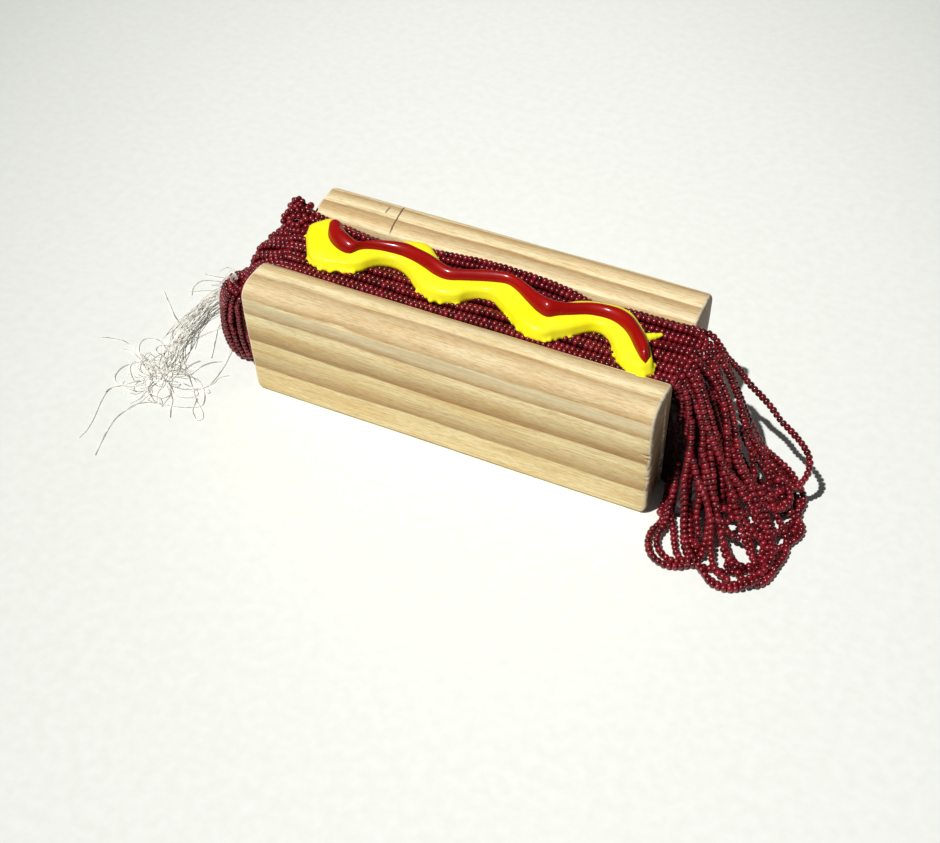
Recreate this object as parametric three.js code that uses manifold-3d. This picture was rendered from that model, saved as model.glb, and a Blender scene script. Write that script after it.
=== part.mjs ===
// A hot dog as a piece of craft work. Two pine boards stand on edge as the bun, a
// hank of glass beads fills the channel between them as the sausage, and poured
// mustard and ketchup lie on the beads. At one end the loops of beads spill out
// over the table, at the other the hank is folded down and its cotton strings
// trail away. Millimetres, +Z up, +X along the bun towards the spilled loops.

import * as THREE from 'three';
import { mergeVertices } from 'three/addons/utils/BufferGeometryUtils.js';
import Module from 'manifold-3d';

const wasm = await Module();
wasm.setup();

// ---- Driving dimensions -------------------------------------------------

const CHANNEL_LENGTH = 152; // the bun is six inches long
const BOARD_HEIGHT = 51;
const BOARD_FOOT = 15.8; // width of the flat foot that a board stands on
const BOARD_EDGE = 1.4; // sanded radius of the ends
const NEAR_BOARD = { length: 153.4, width: 18.4, shoulder: 7, middle: 0, taper: 0 };
const FAR_BOARD = { length: 149.4, width: 20.2, shoulder: 4.5, middle: -0.3, taper: 0.046 };
const NEAR_FACE = -15.6; // where the boards' inner faces stand, 30.4 apart
const FAR_FACE = 14.8;
const FAR_BOARD_TURN = THREE.MathUtils.degToRad(-0.7); // the channel closes up a little

const BEAD = 2.65; // across one glass bead
const GAP = 0.3; // between solids that touch
const CREST_HEIGHT = 49.4; // top of the bundle of beads along its middle
const CREST_FALL_NEAR = 0.7; // how much lower it lies along the near board
const STRAND_RELIEF = 0.95; // depth of the grooves between strands

const MUSTARD_HEIGHT = 4.3;
const KETCHUP_HEIGHT = 2.7;
const THREAD = 0.5; // the cotton string, as thick as it can be built

const END = CHANNEL_LENGTH / 2;

// ---- Colours ------------------------------------------------------------

const finish = (color, roughness) => new THREE.MeshStandardMaterial({ color, roughness, metalness: 0 });
const pine = finish('#ecd5a4', 0.65);
const beadGlass = finish('#6e1c24', 0.15);
const mustardPaint = finish('#f9f22e', 0.25);
const ketchupPaint = finish('#a3130e', 0.12);
const cotton = finish('#d9d3c6', 0.9);

// ---- Small tools --------------------------------------------------------

const vec = (x, y, z) => new THREE.Vector3(x, y, z);
const { lerp, clamp, smoothstep } = THREE.MathUtils;
const spline = (points) => new THREE.CatmullRomCurve3(points.map((point) => vec(...point)), false, 'centripetal');

/** Numbers from first to last in equal steps. */
function steps(first, last, count) {
  return Array.from({ length: count + 1 }, (_, index) => lerp(first, last, index / count));
}

/** A smooth bump of height 1 at middle that has died away a few reaches from it. */
function bump(value, middle, reach) {
  return Math.exp(-(((value - middle) / reach) ** 2));
}

/** Signed volume of an indexed geometry: positive where its faces point out. */
function signedVolume(geometry) {
  const position = geometry.getAttribute('position');
  const corner = [vec(), vec(), vec()];
  let volume = 0;
  for (let face = 0; face < geometry.index.count; face += 3) {
    corner.forEach((point, side) => point.fromBufferAttribute(position, geometry.index.getX(face + side)));
    volume += corner[0].dot(corner[1].clone().cross(corner[2])) / 6;
  }
  return volume;
}

/** Geometry from points and triangles, turned right side out if need be. */
function closedGeometry(points, triangles) {
  const geometry = new THREE.BufferGeometry();
  geometry.setAttribute('position', new THREE.Float32BufferAttribute(points.flatMap((p) => [p.x, p.y, p.z]), 3));
  geometry.setIndex(triangles.flat());
  if (signedVolume(geometry) < 0) {
    geometry.setIndex(triangles.flatMap(([a, b, c]) => [a, c, b]));
  }
  return geometry;
}

/** A solid skinned over a row of closed rings, each closed off at its middle. */
function ringSolid(rings) {
  const around = rings[0].length;
  const points = rings.flat();
  const triangles = [];
  for (let ring = 0; ring + 1 < rings.length; ring += 1) {
    for (let index = 0; index < around; index += 1) {
      const next = (index + 1) % around;
      const [a, b] = [ring * around + index, ring * around + next];
      triangles.push([a, b, b + around], [a, b + around, a + around]);
    }
  }
  [0, rings.length - 1].forEach((ring) => {
    const middle = points.length;
    const centre = rings[ring].reduce((sum, point) => sum.add(point), vec(0, 0, 0)).divideScalar(around);
    points.push(centre);
    for (let index = 0; index < around; index += 1) {
      const [a, b] = [ring * around + index, ring * around + ((index + 1) % around)];
      triangles.push(ring === 0 ? [middle, b, a] : [middle, a, b]);
    }
  });
  return closedGeometry(points, triangles);
}

/** A solid between two sheets of points with the same rows and columns. */
function sheetSolid(top, bottom) {
  const rows = top.length;
  const columns = top[0].length;
  const points = [...top.flat(), ...bottom.flat()];
  const below = rows * columns;
  const at = (row, column) => row * columns + column;
  const triangles = [];
  for (let row = 0; row + 1 < rows; row += 1) {
    for (let column = 0; column + 1 < columns; column += 1) {
      const [a, b, c, d] = [at(row, column), at(row, column + 1), at(row + 1, column + 1), at(row + 1, column)];
      triangles.push([a, b, c], [a, c, d], [below + a, below + c, below + b], [below + a, below + d, below + c]);
    }
  }
  const rim = [];
  for (let column = 0; column + 1 < columns; column += 1) rim.push(at(0, column));
  for (let row = 0; row + 1 < rows; row += 1) rim.push(at(row, columns - 1));
  for (let column = columns - 1; column > 0; column -= 1) rim.push(at(rows - 1, column));
  for (let row = rows - 1; row > 0; row -= 1) rim.push(at(row, 0));
  rim.forEach((a, index) => {
    const b = rim[(index + 1) % rim.length];
    triangles.push([a, below + a, below + b], [a, below + b, b]);
  });
  return closedGeometry(points, triangles);
}

/** A round tube of even thickness along a curve. */
function tube(curve, diameter, sides, length) {
  const circle = new THREE.Shape(
    steps(0, 2 * Math.PI, sides).slice(0, -1)
      .map((angle) => new THREE.Vector2(Math.cos(angle), Math.sin(angle)).multiplyScalar(diameter / 2)),
  );
  return new THREE.ExtrudeGeometry(circle, { steps: length, extrudePath: curve });
}

/** A geometry as a solid that can be joined or cut. */
function solidOf(geometry) {
  const bare = geometry.clone();
  bare.deleteAttribute('normal');
  bare.deleteAttribute('uv');
  const merged = mergeVertices(bare, 1e-4);
  return new wasm.Manifold(new wasm.Mesh({
    numProp: 3,
    vertProperties: new Float32Array(merged.getAttribute('position').array),
    triVerts: new Uint32Array(merged.index.array),
  }));
}

/** A joined or cut solid as a geometry again. */
function geometryOf(solid) {
  const mesh = solid.getMesh();
  const geometry = new THREE.BufferGeometry();
  geometry.setAttribute('position', new THREE.BufferAttribute(mesh.vertProperties, 3));
  geometry.setIndex(new THREE.BufferAttribute(mesh.triVerts, 1));
  return geometry;
}

// ---- Bun: the two pine boards -------------------------------------------

/**
 * A board's section. X runs outwards from the channel and Y upwards: a flat foot,
 * a side that swells to its thickest two thirds of the way up, a wide rounded
 * shoulder, a flat top and a small radius on the edge beside the beads.
 */
function boardSection(width, shoulder) {
  const innerEdge = 3.2;
  const section = new THREE.Shape();
  section.moveTo(0.8, 0);
  section.lineTo(BOARD_FOOT - 1, 0);
  section.quadraticCurveTo(BOARD_FOOT, 0, BOARD_FOOT, 2);
  section.bezierCurveTo(BOARD_FOOT, 16, width, 26, width, 38);
  section.bezierCurveTo(width, 47, width - 3, BOARD_HEIGHT, width - shoulder, BOARD_HEIGHT);
  section.lineTo(innerEdge, BOARD_HEIGHT - 0.8);
  section.quadraticCurveTo(0, BOARD_HEIGHT - 1, 0, BOARD_HEIGHT - innerEdge - 0.8);
  section.lineTo(0, 0.8);
  return section;
}

/**
 * One board along X, standing on Z = 0, with its inner face on Y = 0 and sanded
 * ends. A taper makes it thinner at the low end of X and thicker at the other.
 */
function boardGeometry({ length, width, shoulder, middle, taper }) {
  const outline = boardSection(width, shoulder).getPoints(7);
  const centre = new THREE.Vector2(width / 2, BOARD_HEIGHT / 2);
  const quarter = steps(0, Math.PI / 2, 3);
  const turns = [...quarter.map((angle) => [-1, angle]).reverse(), ...quarter.map((angle) => [1, angle])];
  return ringSolid(turns.map(([end, angle]) => {
    const inset = BOARD_EDGE * (1 - Math.cos(angle));
    const x = end * (length / 2 - BOARD_EDGE + BOARD_EDGE * Math.sin(angle));
    const shrink = new THREE.Vector2(1 - inset / centre.x, 1 - inset / centre.y);
    return outline.map((point) => {
      const inner = point.clone().sub(centre).multiply(shrink).add(centre);
      return vec(middle + x, inner.x * (1 + (taper * x) / END), inner.y);
    });
  }));
}

/** Where the far board's inner face stands at X. */
function farFace(x) {
  return FAR_FACE + x * Math.tan(FAR_BOARD_TURN);
}

// ---- Sausage: the bundle of beads ---------------------------------------

/**
 * Height of the bundle's envelope, which touches the crown of every strand. Along
 * the far board it swells over the board's edge and dips twice to show its face.
 */
function crest(x, y) {
  const across = clamp(y / (y < 0 ? -NEAR_FACE : FAR_FACE), -1, 1);
  const wander = 0.4 * Math.sin(x / 17 + 1) + 0.3 * Math.sin(x / 9);
  const farRise = 1.3 + 2 * bump(x, 2, 22) - 3 * bump(x, -44, 15) - 3.2 * bump(x, 40, 8);
  const side = across < 0 ? -CREST_FALL_NEAR : farRise;
  return CREST_HEIGHT + side * across ** 2 + wander;
}

/** The stretch in the channel, with a groove between each strand and the next. */
function bundleGeometry() {
  const strands = 11;
  const foot = 0.6; // the boards carry the weight
  const samples = strands * 3;
  const rings = steps(-END, END, 19).map((x) => {
    const near = NEAR_FACE + GAP;
    const far = farFace(x) - GAP;
    const drift = 0.25 * Math.sin(x / 19);
    const top = steps(0, 1, samples).map((across) => {
      const y = lerp(near, far, across);
      const groove = 0.5 - 0.5 * Math.cos(2 * Math.PI * strands * (across + drift / strands));
      return vec(x, y, crest(x, y) - STRAND_RELIEF * groove);
    });
    return [...top, vec(x, far, foot), vec(x, near, foot)];
  });
  return ringSolid(rings);
}

/**
 * A heap of strands standing against the boards' ends, built up from levels. Each
 * level gives its height, the Y of its middle, its half width and its reach.
 */
function heapGeometry(levels, strands) {
  const wall = -NEAR_BOARD.length / 2 - 2 * GAP; // clear of the boards' ends
  return ringSolid(levels.map(([z, middle, halfWidth, reach]) => steps(0, 2 * Math.PI, strands * 3).slice(0, -1)
    .map((angle) => {
      const groove = 1 - 0.035 * (1 + Math.cos(strands * angle));
      const outwards = Math.sign(Math.cos(angle)) * Math.abs(Math.cos(angle)) ** 0.75;
      const x = wall - (reach / 2) * (1 + groove * outwards);
      return vec(Math.min(x, wall), middle + groove * halfWidth * Math.sin(angle), z);
    })));
}

/** The end that is folded down: a lip at the channel's mouth, a lump and a knot. */
function foldGeometry() {
  const lip = heapGeometry([
    [24, -2, 11, 6], [31, -1, 14, 9], [38, -1, 15.5, 10.3], [43, -0.5, 16, 9.6],
    [46.5, 0, 15.5, 7.4], [49.2, 0.5, 13.5, 4],
  ], 13);
  const lump = heapGeometry([
    [0, -12.5, 5, 10.5], [2.5, -12.5, 8.5, 17], [7, -12.5, 10.3, 20], [14, -12.7, 11, 21.4], [21, -13, 11, 21.7],
    [27, -13.5, 10.5, 20.4], [32, -14, 9, 17.6], [35, -14.5, 6, 13.5],
  ], 13);
  const knot = new THREE.IcosahedronGeometry(1, 2);
  knot.scale(5, 6, 5.4);
  knot.translate(-END - 6.2, 15.8, 47.4);
  return geometryOf(solidOf(lip).add(solidOf(lump)).add(solidOf(knot)));
}

/**
 * Guides down the spill of loops, from the channel's mouth to the table: along its
 * near edge, two across its face and one down its far edge.
 */
const spillGuides = [
  [[77.2, -12.3, 47.6], [82, -14, 42], [85.5, -18.5, 29], [85.7, -27, 14], [84.6, -35, 5], [83, -43.5, 3], [87, -52, 2.7]],
  [[77.2, -4, 49.2], [84, -5, 46], [91, -12, 33], [96, -21, 20], [99, -30, 11], [102.5, -41, 6], [106.5, -51.5, 2.7]],
  [[77.2, 4, 49.4], [86, 3, 46.5], [94, -2, 35], [101, -8, 23], [108, -15, 14], [115, -27, 8], [122.5, -40.5, 2.7]],
  [[77.2, 11, 49.2], [85.2, 10.3, 45.6], [91.5, 9.3, 35], [99.3, 8, 20.5], [108.5, 7.2, 10], [119, 1.6, 5], [129.6, -11, 2.7]],
];

/** The loops that spill out of the channel on to the table. */
function spillGeometry() {
  const ridges = 12;
  const guides = spillGuides.map(spline);
  const top = steps(0, 1, 12).map((along) => {
    const across = new THREE.CatmullRomCurve3(guides.map((guide) => guide.getPointAt(along)));
    return steps(0, 1, ridges * 3).map((share) => {
      const point = across.getPoint(share);
      const groove = 0.5 - 0.5 * Math.cos(2 * Math.PI * ridges * share);
      point.z -= groove * lerp(STRAND_RELIEF, 1.4, along);
      return point;
    });
  });
  const bottom = top.map((row) => row.map((point) => vec(point.x, point.y, 0)));
  return sheetSolid(top, bottom);
}

/** The one loop that springs clear of the others and arches over the table. */
const looseLoop = spline([
  [77.2, 12.9, 48], [80.5, 13.4, 47.4], [84, 12.8, 44.2], [87, 13.1, 40], [91.5, 14.2, 35], [95.4, 13.7, 31],
  [99.9, 13, 28], [104.6, 11.4, 25.5], [109.2, 8.6, 23.3], [114.4, 6, 21.8], [119, 2.8, 20.8],
  [122.5, -1, 19.6], [123.6, -3.8, 16.6], [122.6, -5.6, 12.4], [120.4, -6.4, 9.6],
]);

// ---- Sauces -------------------------------------------------------------

/** The mustard's line: X, Y and half of its width. It swings from side to side. */
const mustardTurns = [
  [-69.3, 5.6, 4.6], [-65, 3.4, 8.5], [-57.5, 0.8, 10.9], [-49.5, 0.9, 9.9], [-43.3, 3.4, 7.4], [-36.2, 6.2, 5.8],
  [-28.3, 5.4, 5.4], [-20.8, -0.3, 5.5], [-13.8, -3.4, 5.4], [-6, -2.4, 5.7], [2, 1.8, 5], [8.5, 1.3, 5],
  [15.3, -3, 5.2], [22.2, -7.4, 5.5], [28.5, -8.2, 6], [35.2, -2.2, 5.2], [42.6, 3.4, 4.9], [50.7, 3.1, 4.6],
  [56, -3.9, 5.6], [61.3, -9.3, 5.5], [67, -12.5, 4.2],
];

/** The ketchup's line: it starts as a drop, and swells again where it turns back. */
const ketchupTurns = [
  [-62, 7.2, 2.4], [-58.2, 2.4, 3.4], [-53.2, -0.4, 3.3], [-49.2, -1.5, 3.1], [-44.5, 0.7, 2.1], [-38, 3.3, 2],
  [-30.5, 4.2, 2.1], [-22.3, 1.6, 2.4], [-14, -1.8, 2.6], [-6, -1, 2.7], [2, 1.8, 2.9], [9.2, 3.6, 2.7],
  [15.8, 2.2, 3.4], [21.8, -1.3, 4.1], [27.5, -3.8, 4.1], [32.3, -2.2, 2.5], [39, 2, 2.1], [47.5, 2.9, 2],
  [55.3, -0.6, 2.7], [61, -7, 2.7], [65.8, -11.2, 1.9],
];

/** Stations along a ribbon: its middle, its sideways direction and its half width. */
function ribbonStations(turns, count) {
  const line = new THREE.CatmullRomCurve3(turns.map(([x, y]) => vec(x, y, 0)));
  const widths = new THREE.CatmullRomCurve3(turns.map(([, , halfWidth], index) => vec(index, halfWidth, 0)));
  return steps(0, 1, count).map((share) => {
    const along = line.getTangent(share);
    return { middle: line.getPoint(share), aside: vec(-along.y, along.x, 0), halfWidth: widths.getPoint(share).y };
  });
}

const mustardStations = ribbonStations(mustardTurns, 46);

/** How full a ribbon is at a place across it, from 1 in the middle to 0 at an edge. */
function fullness(across) {
  return (1 - Math.min(Math.abs(across), 1) ** 2.4) ** 0.5;
}

/** Rounds off a ribbon's height over its two ends. */
function endRound(share) {
  return smoothstep(Math.min(share, 1 - share), -0.02, 0.05);
}

/** Height of the mustard's surface above the bundle's crest at a place in plan. */
function mustardHeight(x, y) {
  const place = vec(x, y, 0);
  const heights = mustardStations.map(({ middle, halfWidth }, index) => {
    const across = middle.distanceTo(place) / halfWidth;
    const share = index / (mustardStations.length - 1);
    return across < 1 ? MUSTARD_HEIGHT * fullness(across) * endRound(share) : 0;
  });
  return Math.max(...heights);
}

/**
 * A ribbon of sauce. Its oval back rises from the bed that it lies on, and its
 * underside is at the sole, which may be lower where something else is under it.
 */
function ribbonGeometry({ stations, height, bed, sole, lip = 0.5, margin = 0 }) {
  return ringSolid(stations.map(({ middle, aside, halfWidth }, index) => {
    const round = endRound(index / (stations.length - 1));
    const place = (share) => middle.clone()
      .addScaledVector(aside, share * (halfWidth * lerp(0.75, 1, round) + margin));
    const back = steps(-1, 1, 8).map((share) => {
      const point = place(share);
      return point.setZ(bed(point.x, point.y) + lip + height * fullness(share) * round);
    });
    const under = steps(1, -1, 4).map((share) => {
      const point = place(share);
      return point.setZ(sole(point.x, point.y));
    });
    return [...back, ...under];
  }));
}

const beadBed = (x, y) => crest(x, y) + GAP;
const sauceBed = (x, y) => beadBed(x, y) + mustardHeight(x, y) + GAP;
const mustardSize = { stations: mustardStations, height: MUSTARD_HEIGHT };

/** The mustard, poured straight on to the beads. */
function mustardGeometry() {
  return ribbonGeometry({ ...mustardSize, bed: beadBed, sole: beadBed });
}

/** The ketchup, poured over the mustard and down its far side. */
function ketchupGeometry() {
  const clearance = 2; // the mustard's own space reaches this far below it
  const below = (x, y) => beadBed(x, y) - clearance;
  const stations = ribbonStations(ketchupTurns, 36);
  const poured = ribbonGeometry({ stations, height: KETCHUP_HEIGHT, bed: sauceBed, sole: beadBed });
  const space = ribbonGeometry({ ...mustardSize, bed: below, sole: below, lip: 0.5 + clearance + GAP, margin: GAP });
  return geometryOf(solidOf(poured).subtract(solidOf(space)));
}

// ---- Cotton strings -----------------------------------------------------

/**
 * The strings leave the fold under its lip as one loose bundle, sink to the table,
 * turn round behind the lump and end in a tangle. Each line gives a place and the bundle's half width and half height.
 */
const tailLine = [
  [-80.6, 3.6, 22, 1.6, 1.5], [-84, 6.6, 18.4, 1.8, 1.7], [-90, 9.6, 12.4, 2.2, 2], [-97, 11.6, 8.2, 2.4, 2.2],
  [-104, 11.8, 5.8, 2.6, 2.3], [-110.5, 9.8, 4.8, 2.8, 2.4], [-114.6, 5.4, 4.4, 2.9, 2.5],
  [-117, -2, 4.6, 2.9, 2.5], [-118, -11, 4.9, 2.9, 2.6], [-117.6, -19, 4.9, 3, 2.6], [-116.4, -26.5, 4.4, 3.3, 2.7],
  [-114.6, -33.5, 3.8, 4.2, 3], [-113.4, -39, 3.2, 6, 3], [-112.8, -44, 2.8, 8, 2.7], [-112.8, -48.5, 2.2, 8, 2.1],
  [-113, -52.5, 1.5, 5.6, 1.4], [-113.2, -55.5, 1.1, 3.2, 1],
];

/** The bundle of strings and the tangle that it ends in. */
function tailGeometry() {
  const line = spline(tailLine.map(([x, y, z]) => [x, y, z]));
  const sizes = new THREE.CatmullRomCurve3(tailLine.map(([, , , wide, high]) => vec(wide, high, 0)));
  const count = 30;
  const rings = steps(0, count, count).map((index) => {
    const share = index / count;
    const middle = line.getPoint(share);
    const along = line.getTangent(share);
    const aside = vec(along.y, -along.x, 0).normalize();
    const up = aside.clone().cross(along);
    const size = sizes.getPoint(share);
    return steps(0, 2 * Math.PI, 12).slice(0, -1).map((angle) => {
      const uneven = 1 + 0.12 * Math.sin(3 * angle + 1.3 * index);
      return middle.clone()
        .addScaledVector(aside, size.x * uneven * Math.cos(angle))
        .addScaledVector(up, size.y * uneven * Math.sin(angle))
        .setZ(Math.max(0, middle.z + size.y * uneven * Math.sin(angle) * up.z));
    });
  });
  return ringSolid(rings);
}

/** Single strings that run out over the table from the tangle. */
const strays = {
  string_left: [[-121.2, -37.4, 1.4], [-124.8, -35.4, 0.8], [-130, -32.8, 0.5], [-137.5, -30.7, 0.4], [-146.4, -32.4, 0.4]],
  string_front: [[-113.4, -57.8, 0.9], [-115, -63, 0.4], [-115.8, -70, 0.4], [-114.2, -79, 0.4], [-111.7, -86, 0.4]],
  string_outer: [[-122, -51.4, 0.9], [-125.8, -55.5, 0.4], [-126, -62, 0.4], [-123, -70.5, 0.4], [-122, -81.5, 0.4]],
};

// ---- Assembly -----------------------------------------------------------

const hotDog = new THREE.Group();
hotDog.name = 'hot_dog';

/** Adds one named solid to the group. */
function add(name, geometry, material) {
  const mesh = new THREE.Mesh(geometry, material);
  mesh.name = name;
  hotDog.add(mesh);
  return mesh;
}

const nearBoard = boardGeometry(NEAR_BOARD);
nearBoard.rotateZ(Math.PI);
add('bun_near', nearBoard, pine).position.y = NEAR_FACE;
const farBoard = add('bun_far', boardGeometry(FAR_BOARD), pine);
farBoard.position.y = FAR_FACE;
farBoard.rotation.z = FAR_BOARD_TURN;

add('bead_bundle', bundleGeometry(), beadGlass);
add('bead_fold', foldGeometry(), beadGlass);
add('bead_spill', spillGeometry(), beadGlass);
add('bead_loop', tube(looseLoop, BEAD, 8, 36), beadGlass);

add('mustard', mustardGeometry(), mustardPaint);
add('ketchup', ketchupGeometry(), ketchupPaint);

add('string_tail', tailGeometry(), cotton);
Object.entries(strays).forEach(([name, points]) => add(name, tube(spline(points), THREAD, 6, 10), cotton));

// The origin is under the middle of the whole piece, on the table.
const box = new THREE.Box3().setFromObject(hotDog, true);
const middle = box.getCenter(vec());
hotDog.position.set(-middle.x, -middle.y, -box.min.z);

export default hotDog;
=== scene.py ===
"""A craft hot dog: two pine boards, a hank of glass seed beads, poured sauces and loose cotton strings.

Lengths are millimetres in the bun's own frame: X runs along the boards towards the spilled
loops, Y = 0 is the middle of the channel, the near board is at minus Y, and Z is up from the table.
A Datum turns them into the row frame's metres.
"""
import logging
import math
import random
from collections.abc import Callable, Sequence
from dataclasses import dataclass, field
from enum import Enum

import bpy
from bpy.types import ID, Material, Mesh, Node, NodeSocket, NodeTree, Object
from mathutils import Matrix, Vector, noise


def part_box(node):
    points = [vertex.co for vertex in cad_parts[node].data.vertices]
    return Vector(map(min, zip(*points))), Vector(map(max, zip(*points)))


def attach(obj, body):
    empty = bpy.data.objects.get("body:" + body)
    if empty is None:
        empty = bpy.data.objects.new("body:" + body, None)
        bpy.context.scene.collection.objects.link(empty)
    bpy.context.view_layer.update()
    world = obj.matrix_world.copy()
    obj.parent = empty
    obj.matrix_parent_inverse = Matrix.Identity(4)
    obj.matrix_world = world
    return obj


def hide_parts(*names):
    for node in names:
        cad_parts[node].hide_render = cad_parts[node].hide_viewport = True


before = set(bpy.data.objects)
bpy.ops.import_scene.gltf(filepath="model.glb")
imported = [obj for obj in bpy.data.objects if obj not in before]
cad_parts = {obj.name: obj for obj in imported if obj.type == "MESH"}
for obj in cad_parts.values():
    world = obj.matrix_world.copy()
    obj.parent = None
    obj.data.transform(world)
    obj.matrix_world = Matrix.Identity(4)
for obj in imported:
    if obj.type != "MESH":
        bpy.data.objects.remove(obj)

LOG = logging.getLogger("craft_hot_dog")
MM = 0.001
BODY = "root"

Point = tuple[float, float, float]
Feed = Node | NodeSocket | float | str | tuple
Strings = list[list[Vector]]

HALF_CHANNEL = 76.0  # the channel between the boards is 152 long
NEAR_FACE = -15.6  # the boards' inner faces
FAR_FACE = 14.8
FAR_TURN = math.radians(-0.7)  # the channel closes up a little towards the spilled loops
CREST = 49.4  # top of the hank along its middle
BEAD = 2.6  # across one bead
PITCH = 1.9  # from one bead to the next along a string


# ---- Frame and numbers ----------------------------------------------------


@dataclass(frozen=True)
class Datum:
    """Where the bun's own origin stands in the row frame, in metres."""

    x: float
    y: float

    @classmethod
    def from_frame(cls) -> "Datum":
        """Finds the origin from the hank's middle and the near board's inner face."""
        low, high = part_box("bead_bundle")
        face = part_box("bun_near")[1].y
        return cls((low.x + high.x) / 2, face - NEAR_FACE * MM)

    def place(self, point: Sequence[float]) -> Vector:
        """Turns a place in the bun's millimetres into the row frame's metres."""
        return Vector((self.x + point[0] * MM, self.y + point[1] * MM, point[2] * MM))


DATUM = Datum.from_frame()


def lerp(start: float, stop: float, share: float) -> float:
    """Goes from start to stop as share goes from 0 to 1."""
    return start + (stop - start) * share


def steps(start: float, stop: float, count: int) -> list[float]:
    """Count + 1 evenly spaced numbers from start to stop."""
    return [lerp(start, stop, index / count) for index in range(count + 1)]


def smoothstep(value: float, low: float, high: float) -> float:
    """Rises smoothly from 0 at low to 1 at high."""
    share = min(max((value - low) / (high - low), 0.0), 1.0)
    return share * share * (3 - 2 * share)


def bump(value: float, middle: float, reach: float) -> float:
    """A smooth hump of height 1 about a middle."""
    return math.exp(-(((value - middle) / reach) ** 2))


def signed_power(value: float, power: float) -> float:
    """Raises a number's size to a power and keeps its sign."""
    return math.copysign(abs(value) ** power, value)


def far_face(x: float) -> float:
    """Y of the far board's inner face at a place along the bun."""
    return FAR_FACE + x * math.tan(FAR_TURN)


def crest(x: float, y: float) -> float:
    """Height of the hank's top between the boards.

    Args:
        x: Place along the bun.
        y: Place across it.

    Returns:
        The height in millimetres. The hank rises against the far board and slumps in two places.
    """
    across = max(-1.0, min(1.0, y / (-NEAR_FACE if y < 0 else FAR_FACE)))
    wander = 0.4 * math.sin(x / 17 + 1) + 0.3 * math.sin(x / 9)
    rise = 1.3 + 2 * bump(x, 2, 22) - 3 * bump(x, -44, 15) - 3.2 * bump(x, 40, 8)
    side = -0.7 if y < 0 else rise
    return CREST + side * across * across + wander


def smooth_path(guides: Sequence[Sequence[float]], step: float = 0.8, parts: int = 0) -> list[Vector]:
    """Runs a smooth curve through guide points.

    Args:
        guides: The points that the curve passes through.
        step: About how far apart the points of the result are.
        parts: Points from each guide to the next. Where it is 0, step decides.

    Returns:
        Points along the curve.
    """
    points = [Vector(guide) for guide in guides]
    ends = [points[0] * 2 - points[1], *points, points[-1] * 2 - points[-2]]
    path = []
    for before, start, stop, after in zip(ends, ends[1:], ends[2:], ends[3:]):
        count = parts or max(2, round((stop - start).length / step))
        for index in range(count):
            t = index / count
            path.append(0.5 * (2 * start + (stop - before) * t
                               + (2 * before - 5 * start + 4 * stop - after) * t ** 2
                               + (3 * start - before - 3 * stop + after) * t ** 3))
    return [*path, points[-1]]


def laid(guides: Sequence[Sequence[float]], rest: float) -> list[Sequence[float]]:
    """Gives the guide points that have no height the one at which a string rests on the table."""
    return [(*guide, rest)[:3] for guide in guides]


def even_path(path: Sequence[Vector], count: int) -> list[Vector]:
    """Count + 1 points at even distances along a path."""
    lengths = [0.0]
    for start, stop in zip(path, path[1:]):
        lengths.append(lengths[-1] + (stop - start).length)
    result, index = [], 0
    for target in steps(0, lengths[-1], count):
        while index < len(path) - 2 and lengths[index + 1] < target:
            index += 1
        span = lengths[index + 1] - lengths[index] or 1.0
        result.append(path[index].lerp(path[index + 1], (target - lengths[index]) / span))
    return result


@dataclass(frozen=True)
class Drift:
    """A slow sideways wander along a string, the same on each run."""

    phases: tuple[float, float, float]
    amount: float

    @classmethod
    def drawn(cls, draw: random.Random, amount: float) -> "Drift":
        """Draws the phases of a wander."""
        return cls((draw.uniform(0, 6.28), draw.uniform(0, 6.28), draw.uniform(0, 6.28)), amount)

    def at(self, place: float) -> float:
        """The wander at a place along the string."""
        first, second, third = self.phases
        waves = math.sin(place / 21 + first) + 0.6 * math.sin(place / 9 + second)
        waves += 0.35 * math.sin(place / 4.3 + third)
        return self.amount * waves / 1.4


# ---- Meshes and node trees ------------------------------------------------


def link(name: str, data: ID) -> Object:
    """Puts a mesh, a camera or a lamp into the scene as an object at the origin."""
    piece = bpy.data.objects.new(name, data)
    bpy.context.scene.collection.objects.link(piece)
    return piece


def mesh_from(name: str, points: Sequence[Sequence[float]], faces: Sequence[Sequence[int]] = (),
              edges: Sequence[Sequence[int]] = (), smooth: bool = True) -> Mesh:
    """Makes a mesh from places in the bun's millimetres."""
    mesh = bpy.data.meshes.new(name)
    mesh.from_pydata([DATUM.place(point) for point in points], edges, faces)
    mesh.polygons.foreach_set("use_smooth", [smooth] * len(mesh.polygons))
    mesh.update()
    return mesh


def wires(name: str, paths: Strings) -> Mesh:
    """Makes a mesh of edges that run along paths."""
    points, edges = [], []
    for path in paths:
        edges += [(len(points) + index, len(points) + index + 1) for index in range(len(path) - 1)]
        points += path
    return mesh_from(name, points, edges=edges)


def ring_faces(rings: int, sides: int, first: int = 0) -> list[tuple[int, ...]]:
    """Faces of a closed solid made of rings, with a face over each end.

    Args:
        rings: How many rings there are.
        sides: Points in one ring.
        first: Index of the first ring's first point.

    Returns:
        The faces as tuples of point indices.
    """
    faces = []
    for ring in range(rings - 1):
        for side in range(sides):
            a = first + ring * sides + side
            b = first + ring * sides + (side + 1) % sides
            faces.append((a, b, b + sides, a + sides))
    last = first + (rings - 1) * sides
    faces.append(tuple(range(first + sides - 1, first - 1, -1)))
    faces.append(tuple(range(last, last + sides)))
    return faces


def add_solid(points: list, faces: list, rings: Sequence[Sequence[Sequence[float]]]) -> None:
    """Adds a closed solid made of rings to a mesh's points and faces."""
    faces += ring_faces(len(rings), len(rings[0]), len(points))
    for ring in rings:
        points += ring


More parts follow.
